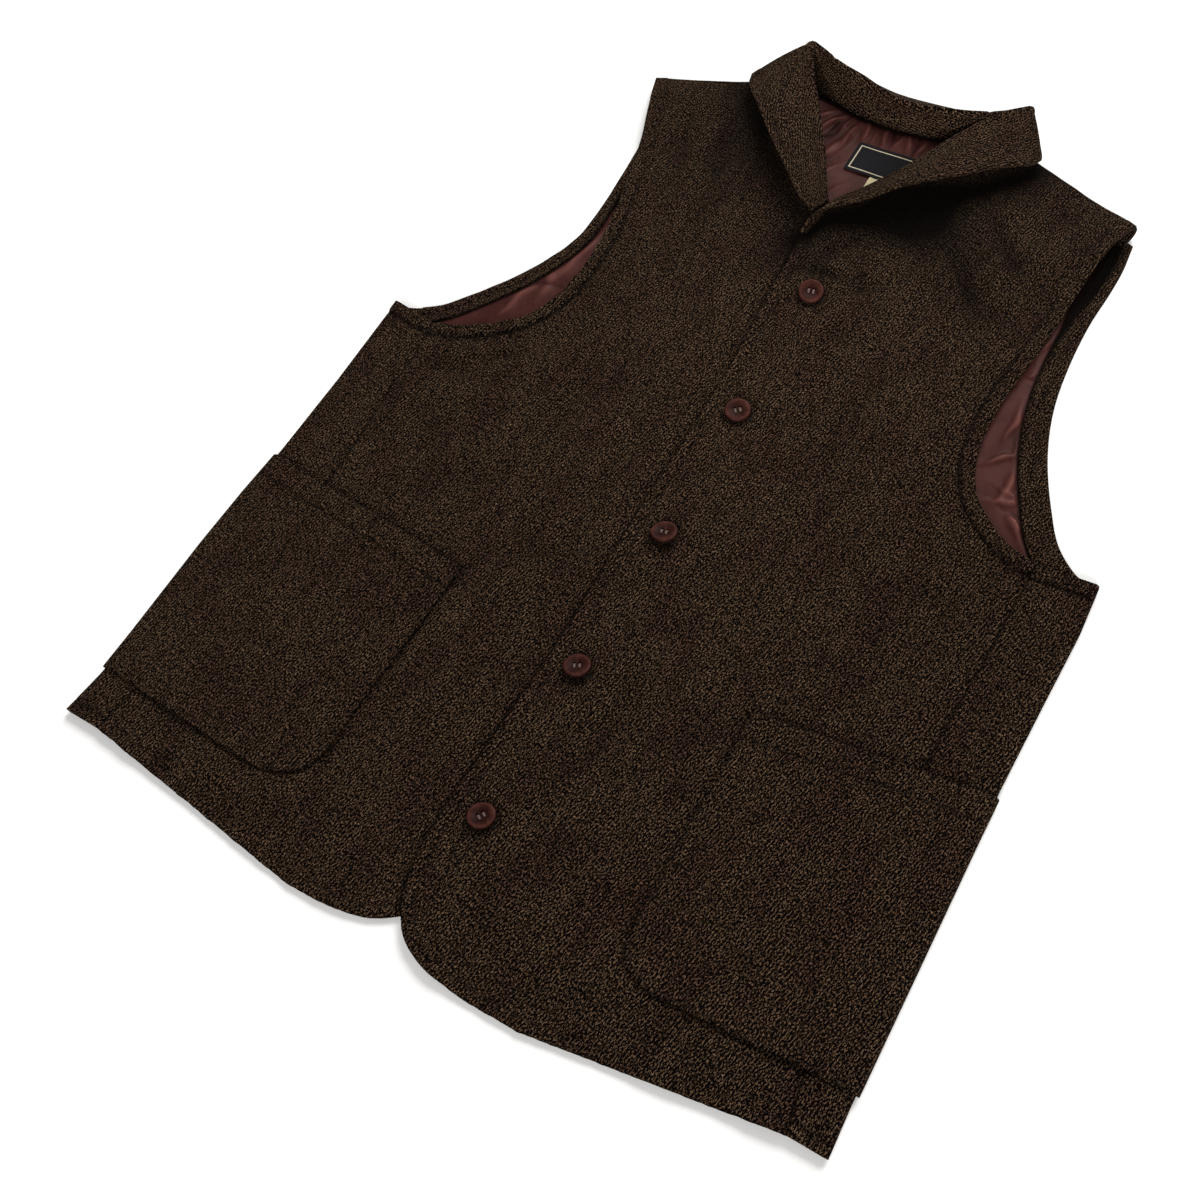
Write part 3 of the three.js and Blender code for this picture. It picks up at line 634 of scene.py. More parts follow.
def back():
    flat = flat_rows(
        arm_back_left.at, arm_back_right.at, Outline(BACK_TOP), HEM_Y, BODY_ROWS, YOKE_ROWS, BACK_COLUMNS)
    flat = np.dstack([flat, np.full(flat.shape[:2], BACK_MID)])
    rows = []
    for i, row in enumerate(flat):
        share = min(1, i / BODY_ROWS)
        right = wrap_points(-1, seam_right, row[0][1], share)[::-1]
        left = wrap_points(1, seam_left, row[-1][1], share)
        if i > BODY_ROWS:
            right, left = right * np.nan, left * np.nan
        rows.append(np.vstack([right, row, left]))
    points = np.array(rows)
    on_top = np.nan_to_num(points[..., 2]) > 4
    body = points[:BODY_ROWS + 1]
    seam = np.zeros(points.shape[:2])
    pressed = np.zeros(points.shape[:2])
    for line, at, deep in (
            (body[:, 0], 0, 0.8), (body[:, -1], 0, 0.8),
            (body[-1, :WRAP_STEPS], ARMHOLE_BAND, 1.0), (body[-1, -WRAP_STEPS:], ARMHOLE_BAND, 1.0),
            (body[0, :WRAP_STEPS], EDGE_STITCH, 0.6), (body[0, -WRAP_STEPS:], EDGE_STITCH, 0.6)):
        distance = reach_to(np.nan_to_num(points, nan=9999), line)
        line_seam = ridge(distance, at, 1.3) * on_top
        # Painted shade along the seam lines, which are also pressed down
        seam = np.maximum(seam, (0.9 if at == ARMHOLE_BAND else 0.6) * line_seam)
        pressed = pressed + deep * line_seam
        if at == ARMHOLE_BAND:
            pressed = pressed - 1.5 * (1 - step(at - 2, at + 2, distance)) * on_top
    points[..., 2] -= pressed
    from_left = row_lengths(points)
    middle = from_left.shape[1] // 2
    grain = np.stack([from_left[:, middle:middle + 1] - from_left, np.nan_to_num(points[..., 1])], -1)
    return cloth("back_cloth", points, BACK_CLOTH, grain, seam)


back_cloth = back()


# Facings of the back armholes

FACING_EDGE = 0.6
FACING_COLUMNS = 15
# Where the facing begins and ends, as shares of the armhole's outline
FACING_SHARES = (0.06, 0.985)
# Widths at the side and at the shoulder
FACING_RIGHT = (14, 9)
FACING_LEFT = (19, 13)


def facing_width(widths, t):
    return lerp(widths[0], widths[1], step(0, 1, t * 1.6 if widths is FACING_RIGHT else t * 1.15))


def facing(name, outline, side, widths):
    t = np.linspace(0, 1, 120)
    shares = lerp(*FACING_SHARES, t)
    across = np.linspace(0, 1, FACING_COLUMNS)[None] * facing_width(widths, t)[:, None]
    columns = [outline.inset(shares, FACING_EDGE + column, side) for column in across.T]
    flat = np.stack(columns, 1)
    from_inside = facing_width(widths, t)[:, None] - across
    z = FACING_MID + 0.3 * ridge(across, 3, 2.5) - 0.4 * ridge(across, EDGE_STITCH, 0.9)
    z = z + 1.1 * (1 - step(0, 3.5, from_inside)) + 0.15 * unevenness(flat[..., 0], flat[..., 1], 21, 22)
    # Painted shade along the stitch line and beside the inner edge
    seam = 0.35 * ridge(across, EDGE_STITCH, 0.9) + 0.6 * ridge(from_inside, 0, 0.9)
    # Painted shadow of the front's raised shoulder on the upper facing, widest near the shoulder tip
    reach = lerp(2.5, 10 if side > 0 else 5, step(0.55, 1, t))[:, None]
    seam = seam + 0.97 * step(0.5, 0.72, t)[:, None] * (1 - step(reach * 0.6, reach * 1.3, from_inside))
    points = np.dstack([flat, z])
    return cloth(name, points, FACING_CLOTH, None, seam, mirrored=side > 0)


facing_right = facing("facing_right_cloth", arm_back_right, -1, FACING_RIGHT)
facing_left = facing("facing_left_cloth", arm_back_left, 1, FACING_LEFT)


# Back lining, with soft folds where the armholes and the neck show it

LINING_FOLDS = [
    [-196, -88, 30, 15, 1.6, 2.0], [-187, -78, 62, 15, 1.4, -1.8], [-178, -84, 75, 22, 2.4, 1.8],
    [-166, -60, 95, 24, 3, 1.4], [-158, -30, 80, 30, 3, 1.8], [-171, -66, 20, 14, 1.6, -1.6],
    [-164, 20, 100, 28, 2.5, 1.4],
    [207, -112, 140, 14, 1.8, 2.0], [200, -103, 152, 15, 1.5, 2.2], [193, -97, 165, 15, 1.4, -1.6],
    [190, -90, 25, 12, 1.6, 1.8], [197, -86, 170, 14, 1.3, 1.6], [186, -76, 80, 18, 2.0, 2.0],
    [190, -62, 150, 12, 1.6, -1.4], [181, -52, 112, 24, 2.2, 3.0], [175, -40, 96, 18, 1.6, -1.6],
    [172, -26, 84, 22, 2.0, 2.0], [178, -8, 120, 18, 2.0, 2.4], [172, 12, 50, 13, 1.8, 2.0],
    [176, 24, 100, 20, 1.8, 1.8], [168, 36, 60, 12, 1.6, 1.6], [173, 52, 95, 18, 1.8, 1.6],
    [174, 70, 70, 14, 1.6, 1.4], [171, 4, 20, 10, 1.2, -1.4], [174, -62, 40, 12, 1.4, 1.8],
]
NECK_GATHERS = [
    [-60, 163, 40, 10, 1.6, 2.8], [-52, 157, 58, 16, 1.6, 3.2], [-46, 160, 66, 12, 1.1, -1.8],
    [-41, 157, 74, 13, 1.5, 2.6], [-34, 150, 82, 19, 1.7, 3.0], [-29, 158, 92, 11, 1.1, -1.8],
    [-24, 159, 100, 11, 1.4, 2.8], [-17, 156, 84, 9, 1.2, 2.2], [-9, 160, 92, 11, 1.4, 3.0],
    [-4, 161, 100, 9, 1.0, -1.6], [1, 159, 78, 10, 1.3, 2.4], [9, 161, 100, 10, 1.4, 2.8],
    [14, 160, 84, 9, 1.0, -1.6], [19, 158, 88, 11, 1.6, 2.8], [28, 159, 110, 10, 1.4, 2.4],
    [38, 158, 122, 14, 1.8, 2.6], [-42, 130, 66, 24, 2.6, 2.6], [-34, 112, 58, 20, 2.2, 1.8],
    [-52, 140, 50, 16, 2.0, -1.4], [-38, 122, 74, 16, 1.5, -1.4], [-20, 100, 64, 16, 2.2, 1.2],
]


def crinkles(table, x, y):
    """Creases with a sharp crest, as thin satin takes them."""
    height = np.zeros(np.shape(x))
    for *middle, half_length, half_width, lift in table:
        along, across = from_crease(x, y, *middle)
        across = across + 0.9 * np.sin(along / 4.5 + middle[0])
        crest = np.sqrt((across / half_width) ** 2 + 0.15) - 0.39
        height = height + lift * np.exp(-((along / half_length) ** 2) - crest)
    return height


def lining():
    def inside(outline, side, widths):
        def line(share):
            t = lerp(FACING_SHARES[0], 0.93, np.asarray(share, float))
            width = facing_width(widths, (t - FACING_SHARES[0]) / 0.925) + FACING_EDGE + GAP
            spot = outline.inset(t, width, side)
            spot[..., 0] = side * np.minimum(np.abs(spot[..., 0]), 248)
            return spot
        return line

    right, left = inside(arm_back_right, -1, FACING_RIGHT), inside(arm_back_left, 1, FACING_LEFT)
    yoke = [[x, y - 5 if abs(x + 9) > 75 else y] for x, y in BACK_TOP[1:-1]]
    top = Outline([right(1.0), *yoke, left(1.0)])
    density = np.cumsum(np.concatenate([[0], [
        3.2 if min(u, 1 - u) < 0.1 or abs(u - 0.5) < 0.17 else 1 for u in np.linspace(0, 1, 999)]]))
    columns = np.interp(np.linspace(0, density[-1], 201), density, np.linspace(0, 1, 1000))
    flat = flat_rows(left, right, top, HEM_Y + 14, 10, 180, columns)
    x, y = flat[..., 0], flat[..., 1]
    shares = np.linspace(0, 1, 90)
    from_side = np.minimum(reach_to(flat, right(shares)), reach_to(flat, left(shares)))
    from_top = reach_to(flat, top.at(np.linspace(0.1, 0.9, 90)))
    folds = 1.3 * crinkles(LINING_FOLDS, x, y) * step(0, 4, from_side)
    folds = folds + 0.95 * crinkles(NECK_GATHERS, x, y) * step(0, 3, from_top)
    open_neck = bump(x, y, -2, 140, 60, 45)
    label_bed = 1 - np.exp(-(((x - 1) / 30) ** 4) - ((y - 130) / 22) ** 4)
    z = LINING_MID + (np.sqrt(folds ** 2 + 0.3) + folds - 0.4) * 0.5 * label_bed
    z = z + 0.35 * (1 + unevenness(x, y, 31, 24)) * open_neck * label_bed
    # Painted shade beside the facings and under the collar's stand
    seam = 0.9 * (1 - step(0.2, 2.6, from_side)) + 0.97 * (1 - step(2.5, 7, from_top))
    # Painted shade in the troughs of the folds and painted highlight on their crests
    trough_shade = np.clip(-0.55 * folds, 0, 0.85)
    crest_highlight = np.clip(0.3 * (folds - 0.8), 0, 0.8) * (1 - 0.5 * open_neck)
    seam = seam + (trough_shade - crest_highlight) * label_bed
    # Painted shadow under the left front's raised shoulder, and painted shade at the top of the neck on the
    # wearer's right
    seam = seam + 0.97 * step(140, 152, x) * step(46, 66, y)
    seam = seam + 0.55 * bump(x, y, -41, 153, 12, 14)
    points = np.dstack([flat, z])
    return cloth("lining_cloth", points, LINING_CLOTH, None, seam)


lining_cloth = lining()


# Patch pockets, laid over the front and the turned side

POCKET_COLUMNS = 60
POCKET_ROWS = 84
POCKET_TURNS = np.radians(np.arange(82, -1, -10))


def pocket(name, inner, side):
    lift = BACK_CLOTH / 2 + GAP + POCKET_CLOTH / 2
    t = np.concatenate([np.arange(POCKET_ROWS) / POCKET_ROWS * 0.9, np.linspace(0.9, 1, 26)])
    outer_share = np.where(t < 0.2, t * 0.35, lerp(0.07, 1, (t - 0.2) / 0.8))
    outer_y = lerp(POCKET_FOOT, POCKET_HEAD, outer_share)
    u = warped(POCKET_COLUMNS, 1.25)
    start = inner.at(t)
    end = np.stack([fold_x(side, outer_y), outer_y], -1)
    flat = lerp(start[:, None], end[:, None], u[None, :, None])
    x, y = flat[..., 0], flat[..., 1]
    puff = 2.4 * np.sin(math.pi * u[None]) ** 0.8 * np.sin(math.pi * (0.06 + 0.84 * t[:, None]))
    over_front = 0.4 * (1 - step(238, 250, np.abs(x)))
    foot = np.vstack([flat[0], start])
    from_edge = reach_to(flat, foot)
    from_top = reach_to(flat, flat[-1])
    z = under_height(x, y) + lift + over_front + puff
    z = z + 0.7 * crease_heights(FINE_CREASES, x + 40, y + 90) + 0.3 * unevenness(x, y, 41, 34)
    z = z - 0.5 * ridge(from_edge, POCKET_STITCH, 0.8) - 0.3 * (1 - step(0, 1.6, from_edge))
    z = z + 0.9 * (1 - step(POCKET_HEM - 1.5, POCKET_HEM + 1, from_top))
    z = z - 0.5 * ridge(from_top, POCKET_HEM, 0.9)
    # Painted shade along the sewn edge, the hem's stitches and the top edge
    seam = 0.85 * ridge(from_edge, 0, 0.8) + 0.4 * ridge(from_top, POCKET_HEM, 1.0)
    seam = seam + 0.85 * ridge(from_top, 0, 0.8)
    points = np.dstack([flat, z])
    turned, turned_grain = [], []
    radius = FOLD_RADIUS + lift
    for angle in POCKET_TURNS:
        turned.append(np.stack([
            end[:, 0] + side * radius * math.cos(angle), outer_y,
            np.full(len(end), BACK_MID + FOLD_RADIUS + radius * math.sin(angle)),
        ], -1))
        turned_grain.append(np.stack([end[:, 0] + side * radius * (math.pi / 2 - angle), outer_y], -1))
    points = np.concatenate([points, np.stack(turned, 1)], 1)
    grain = np.concatenate([flat, np.stack(turned_grain, 1)], 1)
    seam = np.concatenate([seam, np.zeros((len(seam), len(POCKET_TURNS)))], 1)
    return cloth(name, points, POCKET_CLOTH, grain, seam, mirrored=side < 0)


pocket_right = pocket("pocket_right_cloth", pocket_edge_right, -1)
pocket_left = pocket("pocket_left_cloth", pocket_edge_left, 1)


# Shawl collar

COLLAR_SUBSTEPS = 7
ROLL_CUT = 5
STAND_GAP = 1.1
COLLAR_STITCH = 5.0
STAND_SHARES = np.linspace(0, 1, 9)[:-1]
ROLL_SHARES = np.linspace(0, 1, 11)
FALL_SHARES = np.linspace(0, 1, 23)[1:]


def collar_section(seam, roll, edge, wave):
    def cut_from(end):
        return lerp(roll, end, min(0.42, ROLL_CUT / np.linalg.norm(roll - end)))

    before, after = cut_from(seam), cut_from(edge)
    control = 2 * roll - (before + after) / 2
    section = [lerp(seam, before, t) for t in STAND_SHARES]
    for t in ROLL_SHARES:
        section.append((1 - t) ** 2 * before + 2 * t * (1 - t) * control + t * t * after)
    fall = np.linalg.norm(edge - after)
    for t in FALL_SHARES:
        spot = lerp(after, edge, t)
        spot = spot + [0, 0, 1.4 * math.sin(math.pi * t) + wave * t * t]
        from_edge = (1 - t) * fall
        spot[2] += float(sewn_edge(from_edge, 0.5, 0.55, COLLAR_STITCH))
        section.append(spot)
    return section


def collar():
    middle = (len(COLLAR_STATIONS) - 1) / 2
    rows = []
    for k, (x, y, z, *rest) in enumerate(COLLAR_STATIONS):
        height = under_height if k < middle else lap_height
        on_front = float(height(x, y) + lifted(x, y)) + FRONT_CLOTH / 2 + STAND_GAP
        rows.append([x, y, z or on_front, *rest])
    rows = np.array(rows)
    seams, rolls, edges = (swept(rows[:, k:k + 3], COLLAR_SUBSTEPS) for k in (0, 3, 6))
    points = []
    for k, (seam, roll, edge) in enumerate(zip(seams, rolls, edges)):
        wave = 0.5 * math.sin(k * 0.31) + 0.35 * math.sin(k * 0.73 + 1)
        points.append(collar_section(seam, roll, edge, wave))
    points = np.array(points)[::-1]
    roll_column = len(STAND_SHARES) + len(ROLL_SHARES) // 2
    along = run_length(points[:, roll_column])
    across = row_lengths(points)
    grain = np.stack([across, np.broadcast_to(along[:, None], across.shape)], -1)
    from_edge = across[:, -1:] - across
    # Painted shade along the edge stitches and at the foot of the stand
    seam = 0.4 * ridge(from_edge, COLLAR_STITCH, 0.9) + 0.9 * ridge(across, 0, 2.6)
    return cloth("collar_cloth", points, COLLAR_CLOTH + 0.4, grain, seam, edge=0.38)


collar_cloth = collar()


# Buttons: a raised rim, a dished middle, four holes and thread

BUTTON_PROFILE = [
    [0, 0], [6.2, 0], [7.9, 0.4], [8.65, 1.2], [8.75, 1.8], [8.5, 2.45], [8.0, 2.8], [7.4, 2.9],
    [6.6, 2.82], [5.7, 2.7], [4.9, 2.6], [4.2, 2.35], [3.4, 2.1], [1.8, 2.0], [0, 2.0],
]
HOLE_RADIUS = 1.1
HOLE_OFFSET = 1.6

# Painted shade on a button by the distance from its middle, in the dish, the ring round it and on the rim's
# side: below 0 for the painted highlight on the rim's top
BUTTON_PAINTED_LIGHT = [
    [0, 0.6], [2.6, 0.3], [3.4, 0.55], [4.4, 0.5], [5.2, 0.2], [6.4, 0], [7.4, -0.28], [8.2, -0.15],
    [8.7, 0.5],
]

# The lean turns about the picture's width; each side has three strands of thread, in metres
LEAN_AXIS = Vector((0.862, 0.507, 0))
LEAN_LIFT = 0.13
STRANDS = (-0.0004, 0.0, 0.0004)
STRAND_HEIGHT = 0.0014
STRAND_HUMP = 0.001
THREAD_RADIUS = 0.00026


def rod(mesh, radius, depth, segments, place):
    bmesh.ops.create_cone(
        mesh, cap_ends=True, segments=segments, radius1=radius, radius2=radius, depth=depth, matrix=place)


def button_blank():
    mesh = bmesh.new()
    verts = [mesh.verts.new((r / 1000, 0, z / 1000)) for r, z in BUTTON_PROFILE]
    edges = [mesh.edges.new(pair) for pair in zip(verts, verts[1:])]
    bmesh.ops.spin(
        mesh, geom=verts + edges, axis=(0, 0, 1), cent=(0, 0, 0), dvec=(0, 0, 0),
        angle=math.tau, steps=56, use_merge=True)
    bmesh.ops.remove_doubles(mesh, verts=mesh.verts, dist=1e-6)
    bmesh.ops.recalc_face_normals(mesh, faces=mesh.faces)
    blank = new_object("button_blank", mesh, smooth=True)
    drills = []
    for sx, sy in ((-1, -1), (1, -1), (-1, 1), (1, 1)):
        drill = bmesh.new()
        rod(drill, HOLE_RADIUS / 1000, 0.01, 18, Matrix.Translation(
            (sx * HOLE_OFFSET / 1000, sy * HOLE_OFFSET / 1000, 0.001)))
        drills.append(new_object("button_drill", drill))
        cut = blank.modifiers.new("hole", "BOOLEAN")
        cut.operation = "DIFFERENCE"
        cut.solver = "EXACT"
        cut.object = drills[-1]
    bpy.context.view_layer.update()
    drilled = bpy.data.meshes.new_from_object(blank.evaluated_get(bpy.context.evaluated_depsgraph_get()))
    for leftover in (blank, *drills):
        bpy.data.objects.remove(leftover)
    return drilled


def thread_bar(mesh, start, end):
    """A short run of sewing thread from start to end, humped in the middle."""
    steps = 6
    ring_of = []
    along = (end - start).normalized()
    side = along.cross(Vector((0, 0, 1))).normalized()
    for k in range(steps + 1):
        t = k / steps
        centre = start.lerp(end, t) + Vector((0, 0, STRAND_HUMP * math.sin(math.pi * t)))
        circle = bmesh.ops.create_circle(mesh, segments=8, radius=THREAD_RADIUS)
        turn = Matrix((side, Vector((0, 0, 1)), -along)).transposed().to_4x4()
        bmesh.ops.transform(mesh, verts=circle["verts"], matrix=Matrix.Translation(centre) @ turn)
        edges = list({edge for vert in circle["verts"] for edge in vert.link_edges})
        ring_of.append(edges)
    for near, far in zip(ring_of, ring_of[1:]):
        bmesh.ops.bridge_loops(mesh, edges=near + far)


def button(number, drilled):
    move_x, move_y, lean, turn = BUTTON_SEATS[number - 1]
    x, y = BUTTON_X + move_x, -BUTTON_PITCH * (number - 1) + move_y
    seat = float(lap_height(x, y)) + FRONT_CLOTH / 2 + GAP + LEAN_LIFT * abs(lean)
    place = (
        Matrix.Translation(Vector(placed([x, y, seat]))) @ Matrix.Rotation(math.radians(lean), 4, LEAN_AXIS)
        @ Matrix.Rotation(math.radians(turn), 4, "Z"))
    mesh = bmesh.new()
    mesh.from_mesh(drilled)
    # Painted shade and highlight of the button, by the distance from its middle
    painted_light = mesh.verts.layers.float.new("painted_light")
    for vert in mesh.verts:
        reach = math.hypot(vert.co.x, vert.co.y) * 1000
        vert[painted_light] = float(np.interp(reach, *zip(*BUTTON_PAINTED_LIGHT)))
    mesh.transform(place)
    disc = new_object(f"button_{number}_horn", mesh)
    rounded(disc, "softened rims", 0.00015, 2, 50)
    threads = bmesh.new()
    hole = HOLE_OFFSET / 1000
    for offset in (-1, 1):
        for strand in STRANDS:
            ends = (Vector((offset * hole + strand, along, STRAND_HEIGHT)) for along in (-hole, hole))
            thread_bar(threads, *ends)
    rod(threads, 0.0011, 0.0034, 16, Matrix.Translation((0, 0, -0.0014)))
    threads.transform(place)
    bmesh.ops.recalc_face_normals(threads, faces=threads.faces)
    sewing = new_object(f"button_{number}_thread", threads, smooth=True)
    return settled(disc), settled(sewing)


drilled_disc = button_blank()
buttons = [button(number, drilled_disc) for number in range(1, BUTTON_COUNT + 1)]


# Stitches along the edges, laid on the cloth below them, and the buttonholes

STITCH_PITCH = 3.3
STITCH_LENGTH = 2.1


def stitching(name, runs):
    """Short stitches along plan lines, each run a piece of cloth and its lines."""
    mesh = bmesh.new()
    seen = bpy.context.evaluated_depsgraph_get()
    for piece, lines in runs:
        surface = BVHTree.FromObject(piece, seen)
        for line in lines:
            reach = run_length(line)
            for want in np.arange(STITCH_PITCH / 2, reach[-1] - STITCH_LENGTH, STITCH_PITCH):
                ends = []
                for spot in (want, want + STITCH_LENGTH):
                    x, y = (np.interp(spot, reach, column) for column in line.T)
                    hit = surface.ray_cast(Vector(placed([x, y, 60])), Vector((0, 0, -1)))[0]
                    if hit is not None:
                        ends.append(hit)
                if len(ends) < 2 or abs(ends[0].z - ends[1].z) > 0.002:
                    continue
                along = ends[1] - ends[0]
                turn = along.to_track_quat("Z", "Y").to_matrix().to_4x4()
                middle = Matrix.Translation((ends[0] + ends[1]) / 2)
                rod(mesh, THREAD_RADIUS, along.length, 5, middle @ turn)
    return settled(new_object(name, mesh))


def offset_line(outline, distance, side, start=0.0, end=1.0):
    shares = np.linspace(start, end, 160)
    return outline.inset(shares, np.full(160, float(distance)), side)


def pocket_lines(inner, side):
    foot = np.array([inner.at(0.0), [fold_x(side, POCKET_FOOT), POCKET_FOOT]]) + [0, POCKET_STITCH]
    hem = np.array([inner.at(1.0), [fold_x(side, POCKET_HEAD), POCKET_HEAD]]) - [0, POCKET_HEM]
    return [offset_line(inner, POCKET_STITCH, -side), foot, hem]


stitches = stitching("edge_stitches", [
    (front_left, [
        offset_line(Outline(corner_left.points[::4]), EDGE_STITCH, -1),
        offset_line(edge_left, EDGE_STITCH, -1), offset_line(arm_front_left, ARMHOLE_BAND, 1, 0.02, 0.96)]),
    (front_right, [
        offset_line(Outline(corner_right.points[::4]), EDGE_STITCH, 1, 0.0, 0.6),
        offset_line(arm_front_right, ARMHOLE_BAND, -1, 0.02, 0.96)]),
    (pocket_right, pocket_lines(pocket_edge_right, -1)),
    (pocket_left, pocket_lines(pocket_edge_left, 1)),
])


def buttonholes():
    """A worked welt under each button, with its end past the rim, and a near-black slit along it, a painted
    shadow in the opening.
    """
    welts, slit_shadows = bmesh.new(), bmesh.new()
    for number, (move_x, move_y, _, _) in enumerate(BUTTON_SEATS):
        x, y = BUTTON_X + move_x + 3, -BUTTON_PITCH * number + move_y - 1.5
        z = float(lap_height(x, y) + fine_folds(x, y)) + FRONT_CLOTH / 2
        for mesh, size in ((welts, (9.6, 1.7, 0.75)), (slit_shadows, (8.6, 0.45, 0.95))):
            shape = Matrix.Diagonal((*(length / 1000 for length in size), 1))
            bmesh.ops.create_uvsphere(
                mesh, u_segments=20, v_segments=8, radius=1,
                matrix=Matrix.Translation(Vector(placed([x, y, z]))) @ shape)
    return [
        settled(new_object(name, mesh, smooth=True))
        for name, mesh in (("buttonhole_welts", welts), ("buttonhole_slit_shadows", slit_shadows))
    ]


buttonhole_welts, buttonhole_slit_shadows = buttonholes()


# Label and size tab

def woven_tape(name, low, high, curl):
    """A tape from its low corner to its high one, its lower edge curled up."""
    (x0, y0), (x1, y1) = low, high
    x, y = np.meshgrid(np.linspace(x0, x1, 51), np.linspace(y0, y1, 31))
    across, along = (x - x0) / (x1 - x0), (y - y0) / (y1 - y0)
    z = LABEL_MID - 0.2 + 0.18 * np.sin(across * 7 + along * 3) + curl * (1 - along) ** 3
    grain = np.dstack([x - x0, y - y0])
    return cloth(name, np.stack([x, y, z], -1), LABEL_CLOTH, grain)


label = woven_tape("label_tape", (-24, 120), (26, 148.5), 0.5)
size_tab = woven_tape("size_tab_tape", (-3, 106), (12, 120.5), 0.4)


# Materials

class Value:
    """A socket in a material; sums and products on it add the nodes that they need."""

    def __init__(self, finish, socket):
        self.finish = finish
        self.socket = socket

    def math(self, operation, *terms):
        return self.finish.node("ShaderNodeMath", {"operation": operation}, dict(enumerate(terms)))

    def __add__(self, other):
        return self.math("ADD", self, other)

    def __sub__(self, other):
        return self.math("SUBTRACT", self, other)

    def __rsub__(self, other):
        return self.math("SUBTRACT", other, self)

    def __mul__(self, other):
        return self.math("MULTIPLY", self, other)

    def __truediv__(self, other):
        return self.math("DIVIDE", self, other)

    __radd__ = __add__
    __rmul__ = __mul__

    def size(self):
        return self.math("ABSOLUTE", self)

    def wave(self):
        """From 0 to 1 and back, once for each whole number."""
        return self.math("SINE", self * math.tau) * 0.5 + 0.5

    def between(self, low, high):
        return self.finish.node(
            "ShaderNodeMapRange", {"interpolation_type": "SMOOTHSTEP"},
            {"Value": self, "From Min": low, "From Max": high})


class Finish:
    """A procedural material for one of the garment's stuffs."""

    def __init__(self, name, roughness, solid=False, **fixed):
        self.solid = solid
        self.material = bpy.data.materials.new(name)
        self.material.use_nodes = True
        self.tree = self.material.node_tree
        self.shader = self.tree.nodes["Principled BSDF"]
        self.shader.inputs["Roughness"].default_value = roughness
        for socket, value in fixed.items():
            self.shader.inputs[socket.replace("_", " ")].default_value = value

    def node(self, kind, settings=None, sockets=None, output=0):
        made = self.tree.nodes.new(kind)
        for key, setting in (settings or {}).items():
            setattr(made, key, setting)
        for socket, value in (sockets or {}).items():
            self.join(value, made.inputs[socket])
        return Value(self, made.outputs[output])

    def join(self, value, socket):
        if isinstance(value, Value):
            self.tree.links.new(value.socket, socket)
        elif hasattr(value, "__len__") and len(value) == 3 and socket.type == "RGBA":
            socket.default_value = (*value, 1)
        else:
            socket.default_value = value

    def grain(self, degrees=0.0, stretch=(1.0, 1.0)):
        """The place on the flat cloth in millimetres, turned, and stretched along the thread.
        On a cut edge, where the flat cloth has no width, it is the place in space."""
        flat = self.place() if self.solid else self.node("ShaderNodeUVMap", {"uv_map": "grain"})
        return self.node("ShaderNodeMapping", {"vector_type": "TEXTURE"}, {
            "Vector": flat, "Rotation": (0, 0, math.radians(-degrees)),
            "Scale": (0.001 / stretch[0], 0.001 / stretch[1], 0.001)})

    def place(self):
        return self.node("ShaderNodeTexCoord", output="Object")

    def noise(self, where, scale, detail=2.0, roughness=0.5):
        return self.node("ShaderNodeTexNoise", None, {
            "Vector": where, "Scale": scale, "Detail": detail, "Roughness": roughness})

    def axis(self, where, name):
        return self.node("ShaderNodeSeparateXYZ", None, {0: where}, output=name)

    def attribute(self, name):
        return self.node("ShaderNodeAttribute", {"attribute_name": name}, output="Fac")

    def ramp(self, share, *stops):
        made = self.node("ShaderNodeValToRGB", None, {"Fac": share})
        elements = made.socket.node.color_ramp.elements
        while len(elements) < len(stops):
            elements.new(0.5)
        for element, (place, colour) in zip(elements, stops):
            element.position = place
            element.color = (*colour, 1)
        return made

    def blend(self, share, first, second, mode="MIX"):
        sockets = {0: share, 6: first, 7: second}
        return self.node("ShaderNodeMix", {"data_type": "RGBA", "blend_type": mode}, sockets, output=2)

    def set(self, **linked):
        for socket, value in linked.items():
            self.join(value, self.shader.inputs[socket.replace("_", " ")])

    def relief(self, height, distance, strength=1.0):
        bump = self.node("ShaderNodeBump", None, {
            "Height": height, "Distance": distance, "Strength": strength})
        self.join(bump, self.shader.inputs["Normal"])


# Brown salt-and-pepper twill, woollen, with darker and lighter streaks along the cloth
TWILL_PITCH = 2.1
TWILL_DEGREES = 76


